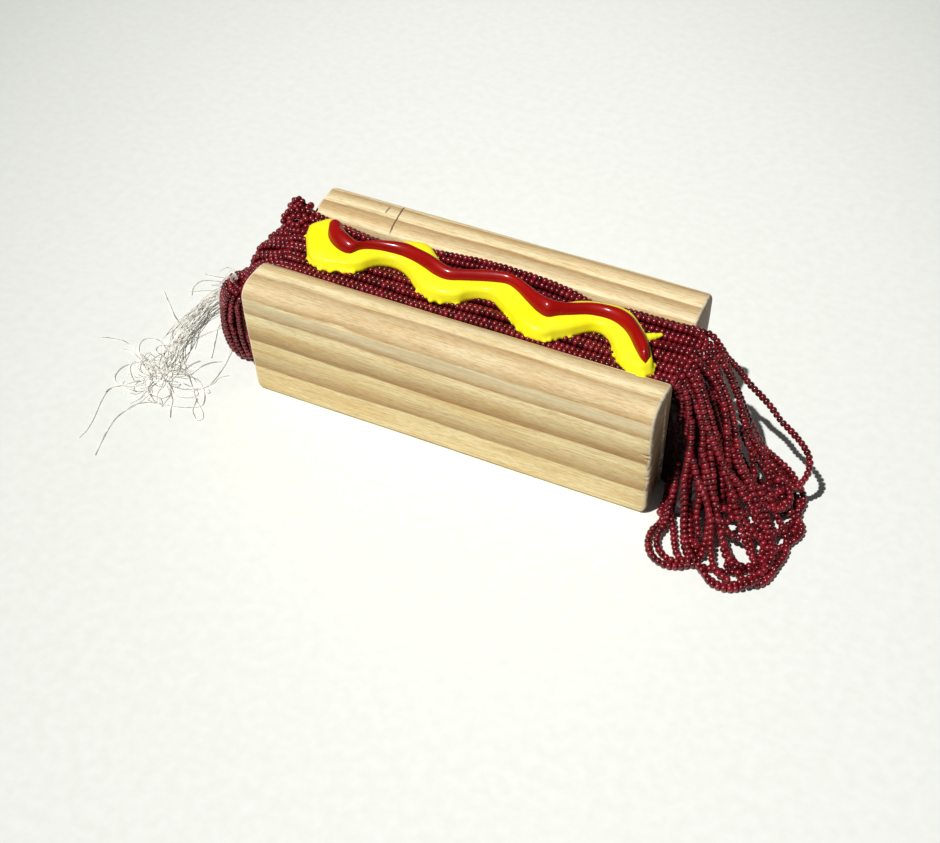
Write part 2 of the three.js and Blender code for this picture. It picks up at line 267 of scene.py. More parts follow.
def add(tree: NodeTree, kind: str, feeds: dict | None = None, **settings: object) -> Node:
    """Adds a node to a tree.

    Args:
        tree: The tree that the node goes into.
        kind: The node's type.
        feeds: For inputs, by name or number, a value, or the output or the node that feeds it.
            A node feeds its first output.
        settings: The node's own settings.

    Returns:
        The node.
    """
    node = tree.nodes.new(kind)
    for name, value in settings.items():
        setattr(node, name, value)
    for key, value in (feeds or {}).items():
        if isinstance(value, Node):
            value = value.outputs[0]
        if isinstance(value, NodeSocket):
            tree.links.new(value, node.inputs[key])
        else:
            node.inputs[key].default_value = value
    return node


def linear(code: str, alpha: float = 1.0) -> tuple[float, float, float, float]:
    """Turns an sRGB hex colour into a linear one."""
    parts = [int(code[index:index + 2], 16) / 255 for index in (0, 2, 4)]
    red, green, blue = (part / 12.92 if part <= 0.04045 else ((part + 0.055) / 1.055) ** 2.4
                        for part in parts)
    return red, green, blue, alpha


def geometry_tree(name: str, inputs: dict[str, str]) -> tuple[NodeTree, Node]:
    """Starts a Geometry Nodes tree with named inputs.

    Args:
        name: The tree's name.
        inputs: Each input's name and socket type, after the geometry itself.

    Returns:
        The tree and its input node.
    """
    tree = bpy.data.node_groups.new(name, "GeometryNodeTree")
    tree.interface.new_socket("Geometry", in_out="INPUT", socket_type="NodeSocketGeometry")
    for label, kind in inputs.items():
        tree.interface.new_socket(label, in_out="INPUT", socket_type=kind)
    tree.interface.new_socket("Geometry", in_out="OUTPUT", socket_type="NodeSocketGeometry")
    return tree, add(tree, "NodeGroupInput")


def end_tree(tree: NodeTree, geometry: Feed, finish: Feed) -> None:
    """Ends a tree by making instances real and giving the result its material."""
    real = add(tree, "GeometryNodeRealizeInstances", {"Geometry": geometry})
    dressed = add(tree, "GeometryNodeSetMaterial", {"Geometry": real, "Material": finish})
    add(tree, "NodeGroupOutput", {"Geometry": dressed})


def grown(name: str, host: Mesh, tree: NodeTree,
          values: dict[str, object]) -> Object:
    """Runs a Geometry Nodes tree on a host mesh and keeps the result as a plain mesh.

    Args:
        name: Name of the piece.
        host: The mesh that the tree starts from.
        tree: The tree.
        values: What each named input is set to.

    Returns:
        The piece, with no modifier left on it.
    """
    carrier = link(name + "_host", host)
    modifier = carrier.modifiers.new("grow", "NODES")
    modifier.node_group = tree
    for item in tree.interface.items_tree:
        if item.in_out == "INPUT" and item.name in values:
            modifier[item.identifier] = values[item.name]
    return settled(name, carrier)


def settled(name: str, carrier: Object) -> Object:
    """Turns an object with modifiers into a plain mesh piece and removes the object."""
    bpy.context.view_layer.update()
    graph = bpy.context.evaluated_depsgraph_get()
    mesh = bpy.data.meshes.new_from_object(carrier.evaluated_get(graph))
    mesh.name = name
    bpy.data.objects.remove(carrier)
    return link(name, mesh)


def hand_over(piece: Object, slot: str, *nodes: str) -> None:
    """Hangs a finished piece on its body and hides the nodes that it stands for."""
    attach(piece, BODY)
    if nodes:
        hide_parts(*nodes)
    triangles = sum(len(face.vertices) - 2 for face in piece.data.polygons)
    LOG.info("%s: %d triangles", piece.name, triangles)


# ---- Finishes -------------------------------------------------------------


def new_material(name: str) -> tuple[Material, NodeTree, NodeSocket]:
    """Starts an empty node material, with its Object coordinates in metres."""
    material = bpy.data.materials.new(name)
    material.use_nodes = True
    tree = material.node_tree
    tree.nodes.clear()
    return material, tree, add(tree, "ShaderNodeTexCoord").outputs["Object"]


def close_material(tree: NodeTree, feeds: dict) -> None:
    """Adds the shader with its feeds and links it to the material's output."""
    shader = add(tree, "ShaderNodeBsdfPrincipled", feeds)
    add(tree, "ShaderNodeOutputMaterial", {"Surface": shader})


def noise_of(tree: NodeTree, place: Feed, scale: float, detail: float = 2.0,
             roughness: float = 0.5) -> Node:
    """Adds noise with so many lumps to the unit of its place."""
    return add(tree, "ShaderNodeTexNoise", {
        "Vector": place, "Scale": scale, "Detail": detail, "Roughness": roughness})


def worked(tree: NodeTree, operation: str, *values: Feed) -> Node:
    """Adds a sum."""
    return add(tree, "ShaderNodeMath", dict(enumerate(values)), operation=operation)


def spread(tree: NodeTree, value: Feed, low: float, high: float, least: float = 0.0,
           most: float = 1.0) -> Node:
    """Turns low to high into least to most, and holds what lies past them."""
    return add(tree, "ShaderNodeMapRange", {0: value, 1: low, 2: high, 3: least, 4: most})


def blended(tree: NodeTree, share: Feed, under: Feed, over: Feed,
            how: str = "MULTIPLY") -> Node:
    """Lays one colour over another. A colour is a hex code or what feeds it."""
    under, over = (linear(colour) if isinstance(colour, str) else colour for colour in (under, over))
    return add(tree, "ShaderNodeMixRGB", {0: share, 1: under, 2: over}, blend_type=how)


def ramped(tree: NodeTree, value: Feed, *stops: tuple[float, str | float]) -> Node:
    """Adds a colour ramp. A stop is its place, and a hex code or a plain brightness."""
    node = add(tree, "ShaderNodeValToRGB", {0: value})
    elements = node.color_ramp.elements
    while len(elements) < len(stops):
        elements.new(0.5)
    for element, (place, _) in zip(elements, stops):
        element.position = place
    for element, (_, tone) in zip(elements, stops):
        element.color = linear(tone) if isinstance(tone, str) else (tone, tone, tone, 1)
    return node


@dataclass(frozen=True)
class BeadGlass:
    """Opaque oxblood seed bead glass, cut from drawn tube and tumbled: glossy, no two beads alike."""

    dark: str = "4C060E"
    middle: str = "6E0E17"
    light: str = "881A26"
    roughness: float = 0.22

    def build(self) -> Material:
        """Makes the material. Each bead reads its own tone from the attribute bead_tone."""
        material, tree, place = new_material("oxblood_bead_glass")
        tone = add(tree, "ShaderNodeAttribute", attribute_name="bead_tone")
        ramp = ramped(tree, tone.outputs["Fac"], (0.0, self.dark), (0.5, self.middle), (1.0, self.light))
        # Faint clouding in the glass, half a bead across: 1.3 mm.
        cloud = noise_of(tree, place, 770.0)
        mixed = blended(tree, 0.18, ramp, cloud.outputs["Color"], "OVERLAY")
        rough = spread(tree, cloud, 0, 1, self.roughness - 0.06, self.roughness + 0.1)
        close_material(tree, {"Base Color": mixed, "Roughness": rough, "IOR": 1.5, "Specular IOR Level": 0.5,
                              "Coat Weight": 0.1, "Coat Roughness": 0.1})
        return material


@dataclass(frozen=True)
class PaintedShadeCore:
    """Painted shade for the inside of the hank, where little light reaches: matt oxblood, nearly black."""

    low: str = "2A080B"
    high: str = "1C0507"

    def build(self) -> Material:
        """Makes the material."""
        material, tree, place = new_material("shaded_bead_heap")
        # Lumps one bead across.
        lumps = add(tree, "ShaderNodeTexVoronoi", {"Vector": place, "Scale": 380.0})
        ramp = ramped(tree, lumps, (0.0, self.low), (1.0, self.high))
        bumps = add(tree, "ShaderNodeBump", {"Strength": 0.8, "Distance": 0.001, "Height": lumps})
        close_material(tree, {"Base Color": ramp, "Roughness": 0.6, "Normal": bumps})
        return material


@dataclass(frozen=True)
class Pine:
    """Sanded pine lumber: growth rings cut lengthways, dark late wood with one sharp side.

    The rings are circles about a pith line that runs along the board. Each mark is a
    ring's distance from the pith: the wood darkens up to it and turns pale just past it.
    """

    name: str
    face: float  # Y of the board's inner face
    outwards: float  # +1 where the board lies towards +Y from that face, -1 towards -Y
    pith: tuple[float, float]  # out from the inner face, and up
    marks: tuple[tuple[float, float, float], ...]  # distance, width of the dark part, depth of its colour
    cracks: tuple[tuple[float, float, float, float], ...] = ()  # X, lean, from and to, out from the face
    shade_band: tuple[float, float] | None = None  # heights between which the outer face gets a band of painted shade
    pale: str = "FFF4CF"
    late: str = "B9986A"
    wander: float = 3.2  # how far a ring swings, in millimetres
    fray: float = 0.9  # how far its edge frays along the fibres

    def build(self) -> Material:
        """Makes the material on Object coordinates, turned into the board's own millimetres."""
        material, tree, place = new_material(self.name)
        sign = self.outwards
        origin = DATUM.place((0, self.face, 0))
        board = add(tree, "ShaderNodeMapping", {
            "Vector": place, "Scale": (1000, 1000 * sign, 1000),
            "Location": (-origin.x * 1000, -origin.y * 1000 * sign, 0)})
        # Rings wander over 80 mm of length and 20 mm across.
        slow = self.drawn_out(tree, board, 0.012, 0.05, 2.0)
        # Fibres: 0.5 mm wide and 15 to 20 mm long.
        fibres = self.drawn_out(tree, board, 0.06, 1.9, 5.0, 0.62)
        # Resin streaks, which also break up the band of painted shade: 3 mm wide and 40 mm long.
        streaks = self.drawn_out(tree, board, 0.025, 0.33, 3.0)
        # Fine dark flecks along the grain: 0.3 mm wide and 3 mm long.
        pores = self.drawn_out(tree, board, 0.33, 3.3, 2.0)
        colour = blended(tree, self.rings(tree, board, slow, fibres), self.pale, self.late, "MIX")
        toned = ramped(tree, fibres, (0.38, "CDB283"), (0.5, "FAF2DC"), (0.6, "FFFFFF"))
        colour = blended(tree, 0.42, colour, toned)
        colour = blended(tree, 0.6, colour, ramped(tree, streaks, (0.35, "FFFFFF"), (0.7, "F2DDB8")))
        pitted = ramped(tree, pores, (0.36, "CDB48C"), (0.5, "FAF6EE"), (0.6, "FFFFFF"))
        colour = blended(tree, 0.45, colour, pitted)
        parts = add(tree, "ShaderNodeSeparateXYZ", {0: board})
        # Painted shade: the faces darken a little from 44 mm down to 30 mm, towards the foot.
        foot_shade = spread(tree, parts.outputs[2], 30, 44)
        colour = blended(tree, 1.0, colour, blended(tree, foot_shade, "F3EEE0", "FFFFFF", "MIX"))
        # A band of painted shade under the crease, on the near board's outer face.
        if self.shade_band:
            colour = self.band_of_shade(tree, colour, parts, streaks)
        for crack in self.cracks:
            colour = self.cracked(tree, colour, board, parts, crack)
        colour = self.end_grain_and_shade(tree, colour, place)
        relief = worked(tree, "MULTIPLY_ADD", fibres, 0.7, noise_of(tree, board, 2.2, 3.0))
        bumps = add(tree, "ShaderNodeBump", {"Strength": 0.5, "Distance": 0.0002, "Height": relief})
        close_material(tree, {
            "Base Color": colour, "Roughness": spread(tree, fibres, 0, 1, 0.52, 0.72), "IOR": 1.5,
            "Specular IOR Level": 0.35, "Normal": bumps})
        return material

    @staticmethod
    def drawn_out(tree: NodeTree, board: Feed, along: float, across: float, detail: float,
                  roughness: float = 0.5) -> Node:
        """Noise drawn out along the grain, with so many lumps to the millimetre along and across."""
        space = add(tree, "ShaderNodeMapping", {"Vector": board, "Scale": (along, across, across)})
        return noise_of(tree, space, 1.0, detail, roughness)

    def rings(self, tree: NodeTree, board: Feed, slow: Feed, fibres: Feed) -> Node:
        """How dark the late wood is, from the distance to the pith line."""
        flat = add(tree, "ShaderNodeVectorMath", {0: board, 1: (0, 1, 1)}, operation="MULTIPLY")
        distance = add(tree, "ShaderNodeVectorMath", {0: flat, 1: (0, *self.pith)}, operation="DISTANCE")
        swing = worked(tree, "MULTIPLY_ADD", slow, self.wander, distance.outputs["Value"])
        frayed = worked(tree, "MULTIPLY_ADD", fibres, self.fray, swing)
        low = self.marks[0][0] - 12
        high = self.marks[-1][0] + 4
        shift = (self.wander + self.fray) / 2  # what the two add on average
        stops = [(0.0, 0.0)]
        for mark, width, depth in self.marks:
            stops += [((mark + aside - low) / (high - low), tone)
                      for aside, tone in ((-width, 0.0), (-0.35, depth), (0.25, 0.0))]
        return ramped(tree, spread(tree, frayed, low + shift, high + shift), *stops)

    def band_of_shade(self, tree: NodeTree, colour: Feed, parts: Node,
               streaks: Feed) -> Node:
        """Paints shade on the outer face: greys it between two heights, just under the crease."""
        low, high = self.shade_band
        share = spread(tree, streaks, 0.3, 0.6, 0.25, 0.8)
        for part, start, stop in ((2, low, low + 3), (2, high, high - 0.6), (1, 15, 17)):
            share = worked(tree, "MULTIPLY", share, spread(tree, parts.outputs[part], start, stop))
        return blended(tree, share, colour, "CDBB95", "MIX")

    @staticmethod
    def cracked(tree: NodeTree, colour: Feed, board: Feed, parts: Node,
                crack: tuple[float, float, float, float]) -> Node:
        """Draws one fine dark crack across the grain, on the board's top only."""
        x, lean, start, stop = crack
        line = worked(tree, "MULTIPLY_ADD", parts.outputs[1], -lean, parts.outputs[0])
        bend = 0.9  # how far it strays from a straight line
        bent = worked(tree, "MULTIPLY_ADD", noise_of(tree, board, 0.7), bend, line)
        near = worked(tree, "ABSOLUTE", worked(tree, "SUBTRACT", bent, x + bend / 2))
        # The crack is half a millimetre wide.
        share = spread(tree, near, 0.16, 0.42, 1.0, 0.0)
        fades = ((1, start, start + 1.5, 1.0), (1, stop, stop - 1.5, 1.0), (2, 42, 44, 0.9))
        for part, low, high, most in fades:
            share = worked(tree, "MULTIPLY", share, spread(tree, parts.outputs[part], low, high, 0.0, most))
        return blended(tree, share, colour, "4A3A26", "MIX")

    @staticmethod
    def end_grain_and_shade(tree: NodeTree, colour: Feed, place: Feed) -> Node:
        """Darkens the sawn ends inside a pale worn rim: the end grain's own darker tone, deepened by painted
        shade.
        """
        surface = add(tree, "ShaderNodeNewGeometry")
        parts = add(tree, "ShaderNodeSeparateXYZ", {0: surface.outputs["True Normal"]})
        # The saw has torn the edge into splinters about 1.4 mm wide.
        facing = worked(tree, "ABSOLUTE", parts)
        ragged = worked(tree, "MULTIPLY_ADD", noise_of(tree, place, 700.0, 3.0), 0.7, facing)
        rim = blended(tree, spread(tree, ragged, 0.55, 0.75, 0.0, 0.55), colour, "EFE6D2", "MIX")
        # The dark brown multiplied in here is partly painted shade.
        dark = blended(tree, 1.0, rim, "968678")
        return blended(tree, spread(tree, ragged, 0.98, 1.3, 0.0, 0.95), rim, dark, "MIX")


@dataclass(frozen=True)
class PouredPaint:
    """Thick acrylic paint that has skinned over: smooth, wet gloss, a trace of drag marks."""

    name: str
    body: str
    thin: str
    roughness: float
    coat: float

    def build(self) -> Material:
        """Makes the material."""
        material, tree, place = new_material(self.name)
        # Colour drifts over about 12 mm, and the skin wrinkles over about 3 mm.
        ramp = ramped(tree, noise_of(tree, place, 85.0), (0.35, self.body), (0.75, self.thin))
        skin = noise_of(tree, place, 330.0)
        bumps = add(tree, "ShaderNodeBump", {"Strength": 0.12, "Distance": 0.0004, "Height": skin})
        close_material(tree, {
            "Base Color": ramp, "Roughness": self.roughness, "IOR": 1.49, "Specular IOR Level": 0.1,
            "Coat Weight": self.coat, "Coat Roughness": 0.17, "Normal": bumps})
        return material


@dataclass(frozen=True)
class Cotton:
    """Undyed cotton beading thread: matt, with a faint halo of fibre."""

    light: str = "FCF8EE"
    dark: str = "9C9184"

    def build(self) -> Material:
        """Makes the material."""
        material, tree, place = new_material("undyed_cotton_thread")
        # Darker stretches about 6 mm long.
        ramp = ramped(tree, noise_of(tree, place, 170.0, 3.0), (0.38, self.dark), (0.52, self.light))
        close_material(tree, {"Base Color": ramp, "Roughness": 0.85, "IOR": 1.5, "Specular IOR Level": 0.3,
                              "Sheen Weight": 0.25})
        return material


@dataclass(frozen=True)
class PaintedTable:
    """White painted table top: matt, with the faint mottling of a roller and painted light falloff towards
    its rim.
    """

    high: str = "F3F5F0"
    low: str = "EEF0EA"

    def build(self) -> Material:
        """Makes the material."""
        material, tree, place = new_material("white_table_paint")
        # Roller texture, 4 mm.
        mottle = noise_of(tree, place, 250.0, 3.0)
        ramp = ramped(tree, mottle, (0.3, self.low), (0.7, self.high))
        # Painted light falloff: the paint greys outwards, in ellipses: at 0.4 their half axes are 170 and 310
        # mm.
        patch = add(tree, "ShaderNodeMapping", {
            "Vector": place, "Location": DATUM.place((20, -30, 0)), "Rotation": (0, 0, math.radians(25)),
            "Scale": (0.17, 0.31, 1)}, vector_type="TEXTURE")
        away = add(tree, "ShaderNodeVectorMath", {0: patch}, operation="LENGTH")
        reach = worked(tree, "MULTIPLY", away.outputs["Value"], 0.4)
        # This ramp paints light falloff: white in the middle, greyer towards the rim.
        worn = ramped(tree, reach, (0.12, "FFFFFF"), (0.4, "F3F3F3"), (0.6, "E3E3E3"), (0.8, "CDCDCD"))
        bumps = add(tree, "ShaderNodeBump", {"Strength": 0.15, "Distance": 0.0002, "Height": mottle})
        close_material(tree, {"Base Color": blended(tree, 1.0, ramp, worn), "Roughness": 0.8,
                              "Specular IOR Level": 0.15, "Normal": bumps})
        return material


# ---- Beads ----------------------------------------------------------------


@dataclass
class BeadStringer:
    """Threads seed beads on to strings. A string is a path in the bun's millimetres."""

    finish: Material
    tilt: float = 0.16  # how far a bead leans at most, in radians
    segments: int = 8
    profile: tuple[tuple[float, float], ...] = (
        (-0.78, 0.45), (-0.93, 0.78), (-0.6, 1.14), (0.0, 1.32), (0.6, 1.14), (0.93, 0.78), (0.78, 0.45))
    tree: NodeTree = field(init=False)
    bead: Object = field(init=False)

    def __post_init__(self) -> None:
        """Makes the bead and the tree once."""
        self.bead = link("one_bead", self.bead_mesh())
        self.tree = self.string_tree()

    def bead_mesh(self) -> Mesh:
        """One bead about the Z axis: a short rounded barrel with a dimple at each end."""
        points = []
        swell = BEAD / 2.6  # the profile is drawn for a bead 2.6 across
        for height, radius in self.profile:
            for side in range(self.segments):
                angle = 2 * math.pi * side / self.segments
                across = radius * swell * MM
                points.append((across * math.cos(angle), across * math.sin(angle), height * MM))
        mesh = bpy.data.meshes.new("bead")
        mesh.from_pydata(points, [], ring_faces(len(self.profile), self.segments))
        mesh.polygons.foreach_set("use_smooth", [True] * len(mesh.polygons))
        mesh.update()
        return mesh

    @staticmethod
    def string_tree() -> NodeTree:
        """Sets beads along curves, each turned along its string and a little unlike the next."""
        tree, given = geometry_tree("string_of_beads", {
            "Bead": "NodeSocketObject", "Pitch": "NodeSocketFloat", "Tilt": "NodeSocketFloat",
            "Seed": "NodeSocketInt", "Finish": "NodeSocketMaterial"})
        curve = add(tree, "GeometryNodeMeshToCurve", {"Mesh": given.outputs["Geometry"]})
        even = add(tree, "GeometryNodeResampleCurve", {"Curve": curve, "Length": given.outputs["Pitch"]},
                   mode="LENGTH")
        bead = add(tree, "GeometryNodeObjectInfo", {"Object": given.outputs["Bead"]})
        along = add(tree, "GeometryNodeInputTangent")
        aimed = add(tree, "FunctionNodeAlignRotationToVector", {"Vector": along}, axis="Z")
        tilt, seed = given.outputs["Tilt"], given.outputs["Seed"]
        negative = worked(tree, "MULTIPLY", tilt, -1.0)
        least = add(tree, "ShaderNodeCombineXYZ", {0: negative, 1: negative, 2: 0.0})
        most = add(tree, "ShaderNodeCombineXYZ", {0: tilt, 1: tilt, 2: 6.283})
        leaning = add(tree, "FunctionNodeRandomValue", {0: least, 1: most, "Seed": seed},
                      data_type="FLOAT_VECTOR")
        turn = add(tree, "FunctionNodeEulerToRotation", {0: leaning})
        turned = add(tree, "FunctionNodeRotateRotation", {0: aimed, 1: turn}, rotation_space="LOCAL")
        # A bead's size varies by a few per cent, and its tone over the whole ramp.
        size, tone = (add(tree, "FunctionNodeRandomValue", {
            2: low, 3: high, "Seed": worked(tree, "ADD", seed, more)}, data_type="FLOAT")
            for low, high, more in ((0.93, 1.05, 7.0), (0.0, 1.0, 13.0)))
        beads = add(tree, "GeometryNodeInstanceOnPoints", {
            "Points": even, "Instance": bead.outputs["Geometry"], "Rotation": turned,
            "Scale": size.outputs[1]})
        toned = add(tree, "GeometryNodeStoreNamedAttribute", {
            "Geometry": beads, "Name": "bead_tone", "Value": tone.outputs[1]},
            data_type="FLOAT", domain="INSTANCE")
        end_tree(tree, toned, given.outputs["Finish"])
        return tree

    def string(self, name: str, node: str, paths: Strings, seed: int) -> None:
        """Threads beads on to paths.

        Args:
            name: Name of the piece.
            node: The node that it stands for.
            paths: The strings.
            seed: Seed for the beads' tilt, size and tone.
        """
        piece = grown(name, wires(name, paths), self.tree, {
            "Bead": self.bead, "Pitch": PITCH * MM, "Tilt": self.tilt, "Seed": seed, "Finish": self.finish})
        hand_over(piece, "bead_glass", node)

    def put_away(self) -> None:
        """Removes the single bead once every string is threaded."""
        bpy.data.objects.remove(self.bead)


def painted_shade_core(name: str, node: str, finish: Material, *solids: Sequence, inside_out: bool = False) -> None:
    """Builds a core of painted shade for the unlit inside of a heap of beads, from solids made of rings."""
    points, faces = [], []
    for rings in solids:
        add_solid(points, faces, rings)
    core = link(name, mesh_from(name, points, faces, smooth=False))
    if inside_out:
        core.data.flip_normals()
    core.data.materials.append(finish)
    hand_over(core, "bead_glass", node)


@dataclass
class Hank:
    """The strings that lie in the channel, in two layers over a core of painted shade."""

    stringer: BeadStringer
    core_finish: Material
    rows: int = 12
    layer_drop: float = 2.15
    drifts: list[tuple[Drift, Drift]] = field(default_factory=list)

    def __post_init__(self) -> None:
        """Draws each string's wander."""
        draw = random.Random(11)
        self.drifts = [(Drift.drawn(draw, 0.28), Drift.drawn(draw, 0.3)) for _ in range(2 * self.rows)]

    def row_point(self, row: float, x: float, layer: int = 0) -> Vector:
        """Middle of a string at a place along the bun.

        Args:
            row: Which string, from 0 at the near board.
            x: Place along the bun.
            layer: 0 for the top strings, 1 for those between and under them.

        Returns:
            The place.
        """
        aside, lift = self.drifts[int(row) + layer * self.rows]
        near, far = NEAR_FACE + 1.2, far_face(x) - 1.2
        share = (row + 0.5 * layer) / (self.rows - 1)
        y = lerp(near, far, share) + aside.at(x) * min(1.0, 4 * share, 4 * (1 - share))
        slump = 0.03 * max(0.0, -69 - x) ** 2
        z = crest(x, y) - slump - BEAD / 2 + 0.38 * (-1) ** int(row) + lift.at(x) - layer * self.layer_drop
        return Vector((x, max(near, min(far, y)), z))

    def build(self) -> None:
        """Builds the two layers and the core."""
        places = steps(-HALF_CHANNEL, HALF_CHANNEL, 190)  # one every 0.8
        for layer, name in enumerate(("bead_rows_top", "bead_rows_under")):
            rows = [[self.row_point(row, x, layer) for x in places] for row in range(self.rows - layer)]
            self.stringer.string(name, "bead_bundle", rows, seed=3 + layer)
        rings = []
        under, foot = 5.2, 0.8  # how far below the crest its top is, and how high its foot is
        for x in steps(-HALF_CHANNEL + 2, HALF_CHANNEL - 2, 40):
            near, far = NEAR_FACE + 0.6, far_face(x) - 0.6
            top = [(x, y, crest(x, y) - under) for y in steps(near, far, 8)]
            rings.append([*top, (x, far, foot), (x, near, foot)])
        painted_shade_core("bead_core", "bead_bundle", self.core_finish, rings)


@dataclass(frozen=True)
class Heap:
    """A heap of strings against the boards' ends."""

    levels: tuple[tuple[float, float, float, float], ...]  # height, middle, half width and reach
    wall: float = -77.3  # X of its back

    def point(self, height: float, angle: float, inset: float = 1.3) -> Vector:
        """A place on the heap.

        Args:
            height: Height above the table.
            angle: Direction round the heap, 0 straight out from the boards, in radians.
            inset: How far inside the surface.

        Returns:
            The place.
        """
        heights = [level[0] for level in self.levels]
        height = max(heights[0], min(heights[-1], height))
        index = max(i for i, value in enumerate(heights[:-1]) if value <= height)
        share = (height - heights[index]) / (heights[index + 1] - heights[index])
        below, above = self.levels[index], self.levels[index + 1]
        middle, half, reach = (lerp(below[part], above[part], share) for part in (1, 2, 3))
        outwards = signed_power(math.cos(angle), 0.75)
        x = self.wall - reach / 2 - (reach / 2 - inset) * outwards
        return Vector((min(x, self.wall - 1), middle + (half - inset) * math.sin(angle), height))


@dataclass
class Fold:
    """The end where the hank is folded down: a lip at the channel's mouth, a lump and a knot."""

    stringer: BeadStringer
    hank: Hank
    core_finish: Material
    lip: Heap = Heap((
        (24, -2, 11, 6), (31, -1, 14, 9), (37, -1, 15.5, 10.6), (41, -0.5, 15.8, 11.4),
        (44.4, 0, 15.5, 10.2), (46.4, 0, 15, 6.8), (48, 0.5, 14, 2.5)))
    lump: Heap = Heap((
        (0, -12.5, 6.5, 13), (2.5, -12.5, 9.6, 19.4), (7, -12.5, 11, 22), (14, -12.7, 11.3, 22.6),
        (21, -13, 11.2, 22.4), (27, -13.4, 11, 21.8), (31.5, -13.8, 10.4, 20), (34, -14, 9.2, 18),
        (35.6, -14, 7, 15.5)))

    def lip_strings(self) -> Strings:
        """Strings that leave the channel side by side and slope down over the lip."""
        strings = []
        sides = (-9.8, -7.3, -4.4, -1.6, 0.9, 3.9, 6.6, 9.4)
        for layer in (0, 1):
            for index, side in enumerate(sides[layer:]):
                row = 2 + layer + index
                share = (side + 15.6) / 30.4
                angle = math.asin(max(-0.9, min(0.9, 2 * share - 1.05)))
                low = 2.2 * layer + 0.5 * (index % 2)
                out = 1.3 if index in (2, 3, 5) else 0.0
                start = [self.hank.row_point(row, x, layer) for x in (-70, -73)]
                slope = [(-77.5, side, 46.5 - low + 0.4 * out),
                         (-81.5 - 0.5 * out, side + 0.2, 45.2 - low + 0.5 * out),
                         (-85 - out, side, 43.4 - low)]
                down = [self.lip.point(z, angle, 1.3 + low) for z in (38.5, 33, 28, 24.5)]
                strings.append(smooth_path([*start, *slope, *down]))
        return strings

    def near_strings(self) -> Strings:
        """Strings that run down round the near board's end, into the top of the lump."""
        strings = []
        for row, aside, out in ((0, -13.9, 0.0), (1, -12.6, 1.8), (2, -11.2, 3.6)):
            start = [self.hank.row_point(row, x) for x in (-68, -71)]
            route = [(-76 - out * 0.5, aside, 45.6), (-81 - out * 0.7, aside - 0.4, 41.8),
                     (-84.6 - out * 0.8, aside - 1.2, 37.6), (-86.6 - out, aside - 1.8, 33.8)]
            end = self.lump.point(28, math.asin((aside + 11) / 9), 2.6)
            strings.append(smooth_path([*start, *route, end]))
        return strings

    def lump_strings(self) -> Strings:
        """Strings that stand side by side round the lump, bent over at its top and under at its foot."""
        strings = []
        draw = random.Random(23)
        for index in range(20):
            angle = math.radians(lerp(-140, 128, index / 19) + draw.uniform(-2, 2))
            lean = Drift.drawn(draw, 0.05)
            bulge = Drift.drawn(draw, 0.35)
            sunk = 1.3 + 0.7 * (index % 3 == 1)
            over = [self.lump.point(29.5, angle, 6.6), self.lump.point(33.4, angle, 5.0),
                    self.lump.point(34.6, angle, 3.0 + 0.3 * sunk)]
            heights = (33.2, 30, 26, 21, 15, 9, 5, 2.6, 1.5)
            line = [self.lump.point(z, angle + lean.at(3 * z), sunk + bulge.at(3 * z)) for z in heights]
            strings.append(smooth_path([*over, *line]))
        return strings

    def knot_strings(self) -> Strings:
        """Strings from the far side of the channel, wound into a knot at its mouth."""
        routes = (
            ((-66, 13.6, 49.2), (-70.4, 14.4, 49.4), (-73, 14.6, 50), (-75.5, 13.8, 50.8),
             (-77.5, 12.8, 51.4), (-79.5, 11.8, 51.6), (-81.4, 10.6, 51.2), (-83.2, 9.8, 49.8),
             (-83.5, 8.9, 48.2), (-82.8, 7.8, 46.8), (-81.2, 7, 46.2), (-78.6, 6, 46.8), (-75.6, 5.4, 47.8),
             (-71, 5.2, 48.4)),
            ((-66, 11.4, 49), (-71, 13, 49), (-73.6, 12, 49.5), (-75.3, 10, 49.6), (-76, 8, 49),
             (-77.2, 7.2, 48.4), (-79.6, 7.8, 48.2), (-81.2, 9, 48.6), (-80.4, 9.9, 49.6),
             (-78.2, 10.4, 50.2), (-76, 11.6, 50)),
            ((-72, 8.6, 48.6), (-75, 9, 47.6), (-79, 9.4, 46.4), (-83.6, 11, 45.6), (-86, 13.4, 44.4),
             (-86.4, 16.4, 43.4), (-84, 18.4, 43.2), (-80.6, 18, 44.6), (-78.6, 15.8, 46.6),
             (-79.6, 12.8, 48), (-82.6, 12.6, 48.2), (-84.6, 14.8, 47.6), (-83.6, 17.4, 47),
             (-80.6, 17.6, 48.4), (-79, 15.6, 49.6)),
            ((-82.4, 15.8, 52.4), (-80.8, 16.8, 53), (-79, 16, 52.8), (-78.8, 14.2, 52),
             (-80.4, 13.2, 51.8), (-82.6, 13.8, 51), (-83.8, 15.4, 50.2), (-82.8, 17.2, 49.8),
             (-80.4, 17.8, 50.2), (-78.4, 17, 50.2), (-77, 15.2, 50), (-78.4, 14.2, 49.4)),
            ((-81, 15, 53.6), (-79.9, 14.4, 53.4), (-80.2, 15.6, 50.6)),
            ((-84.6, 12.6, 44.6), (-81.4, 14.1, 45.2), (-79.4, 17, 45.2), (-78.4, 19.2, 45),
             (-80.6, 20.4, 44.6), (-83.6, 19.4, 44)),
            ((-76.2, 14.4, 51.6), (-75.6, 16.2, 52), (-76.4, 17.6, 50.6), (-78, 17.8, 48), (-80.6, 15, 46),
             (-83, 11, 44.6), (-84.4, 8, 43.4)))
        return [smooth_path(route) for route in routes]

    def mouth_strings(self) -> Strings:
        """Strings that stand in the channel's mouth under the lip."""
        return [smooth_path([(-77.4, y, 27), (-78 - 0.4 * (index % 2), y + 0.3, 18), (-77.8, y - 0.3, 9),
                             (-77.2, y, 1.4)]) for index, y in enumerate(steps(-14, 13.2, 11))]

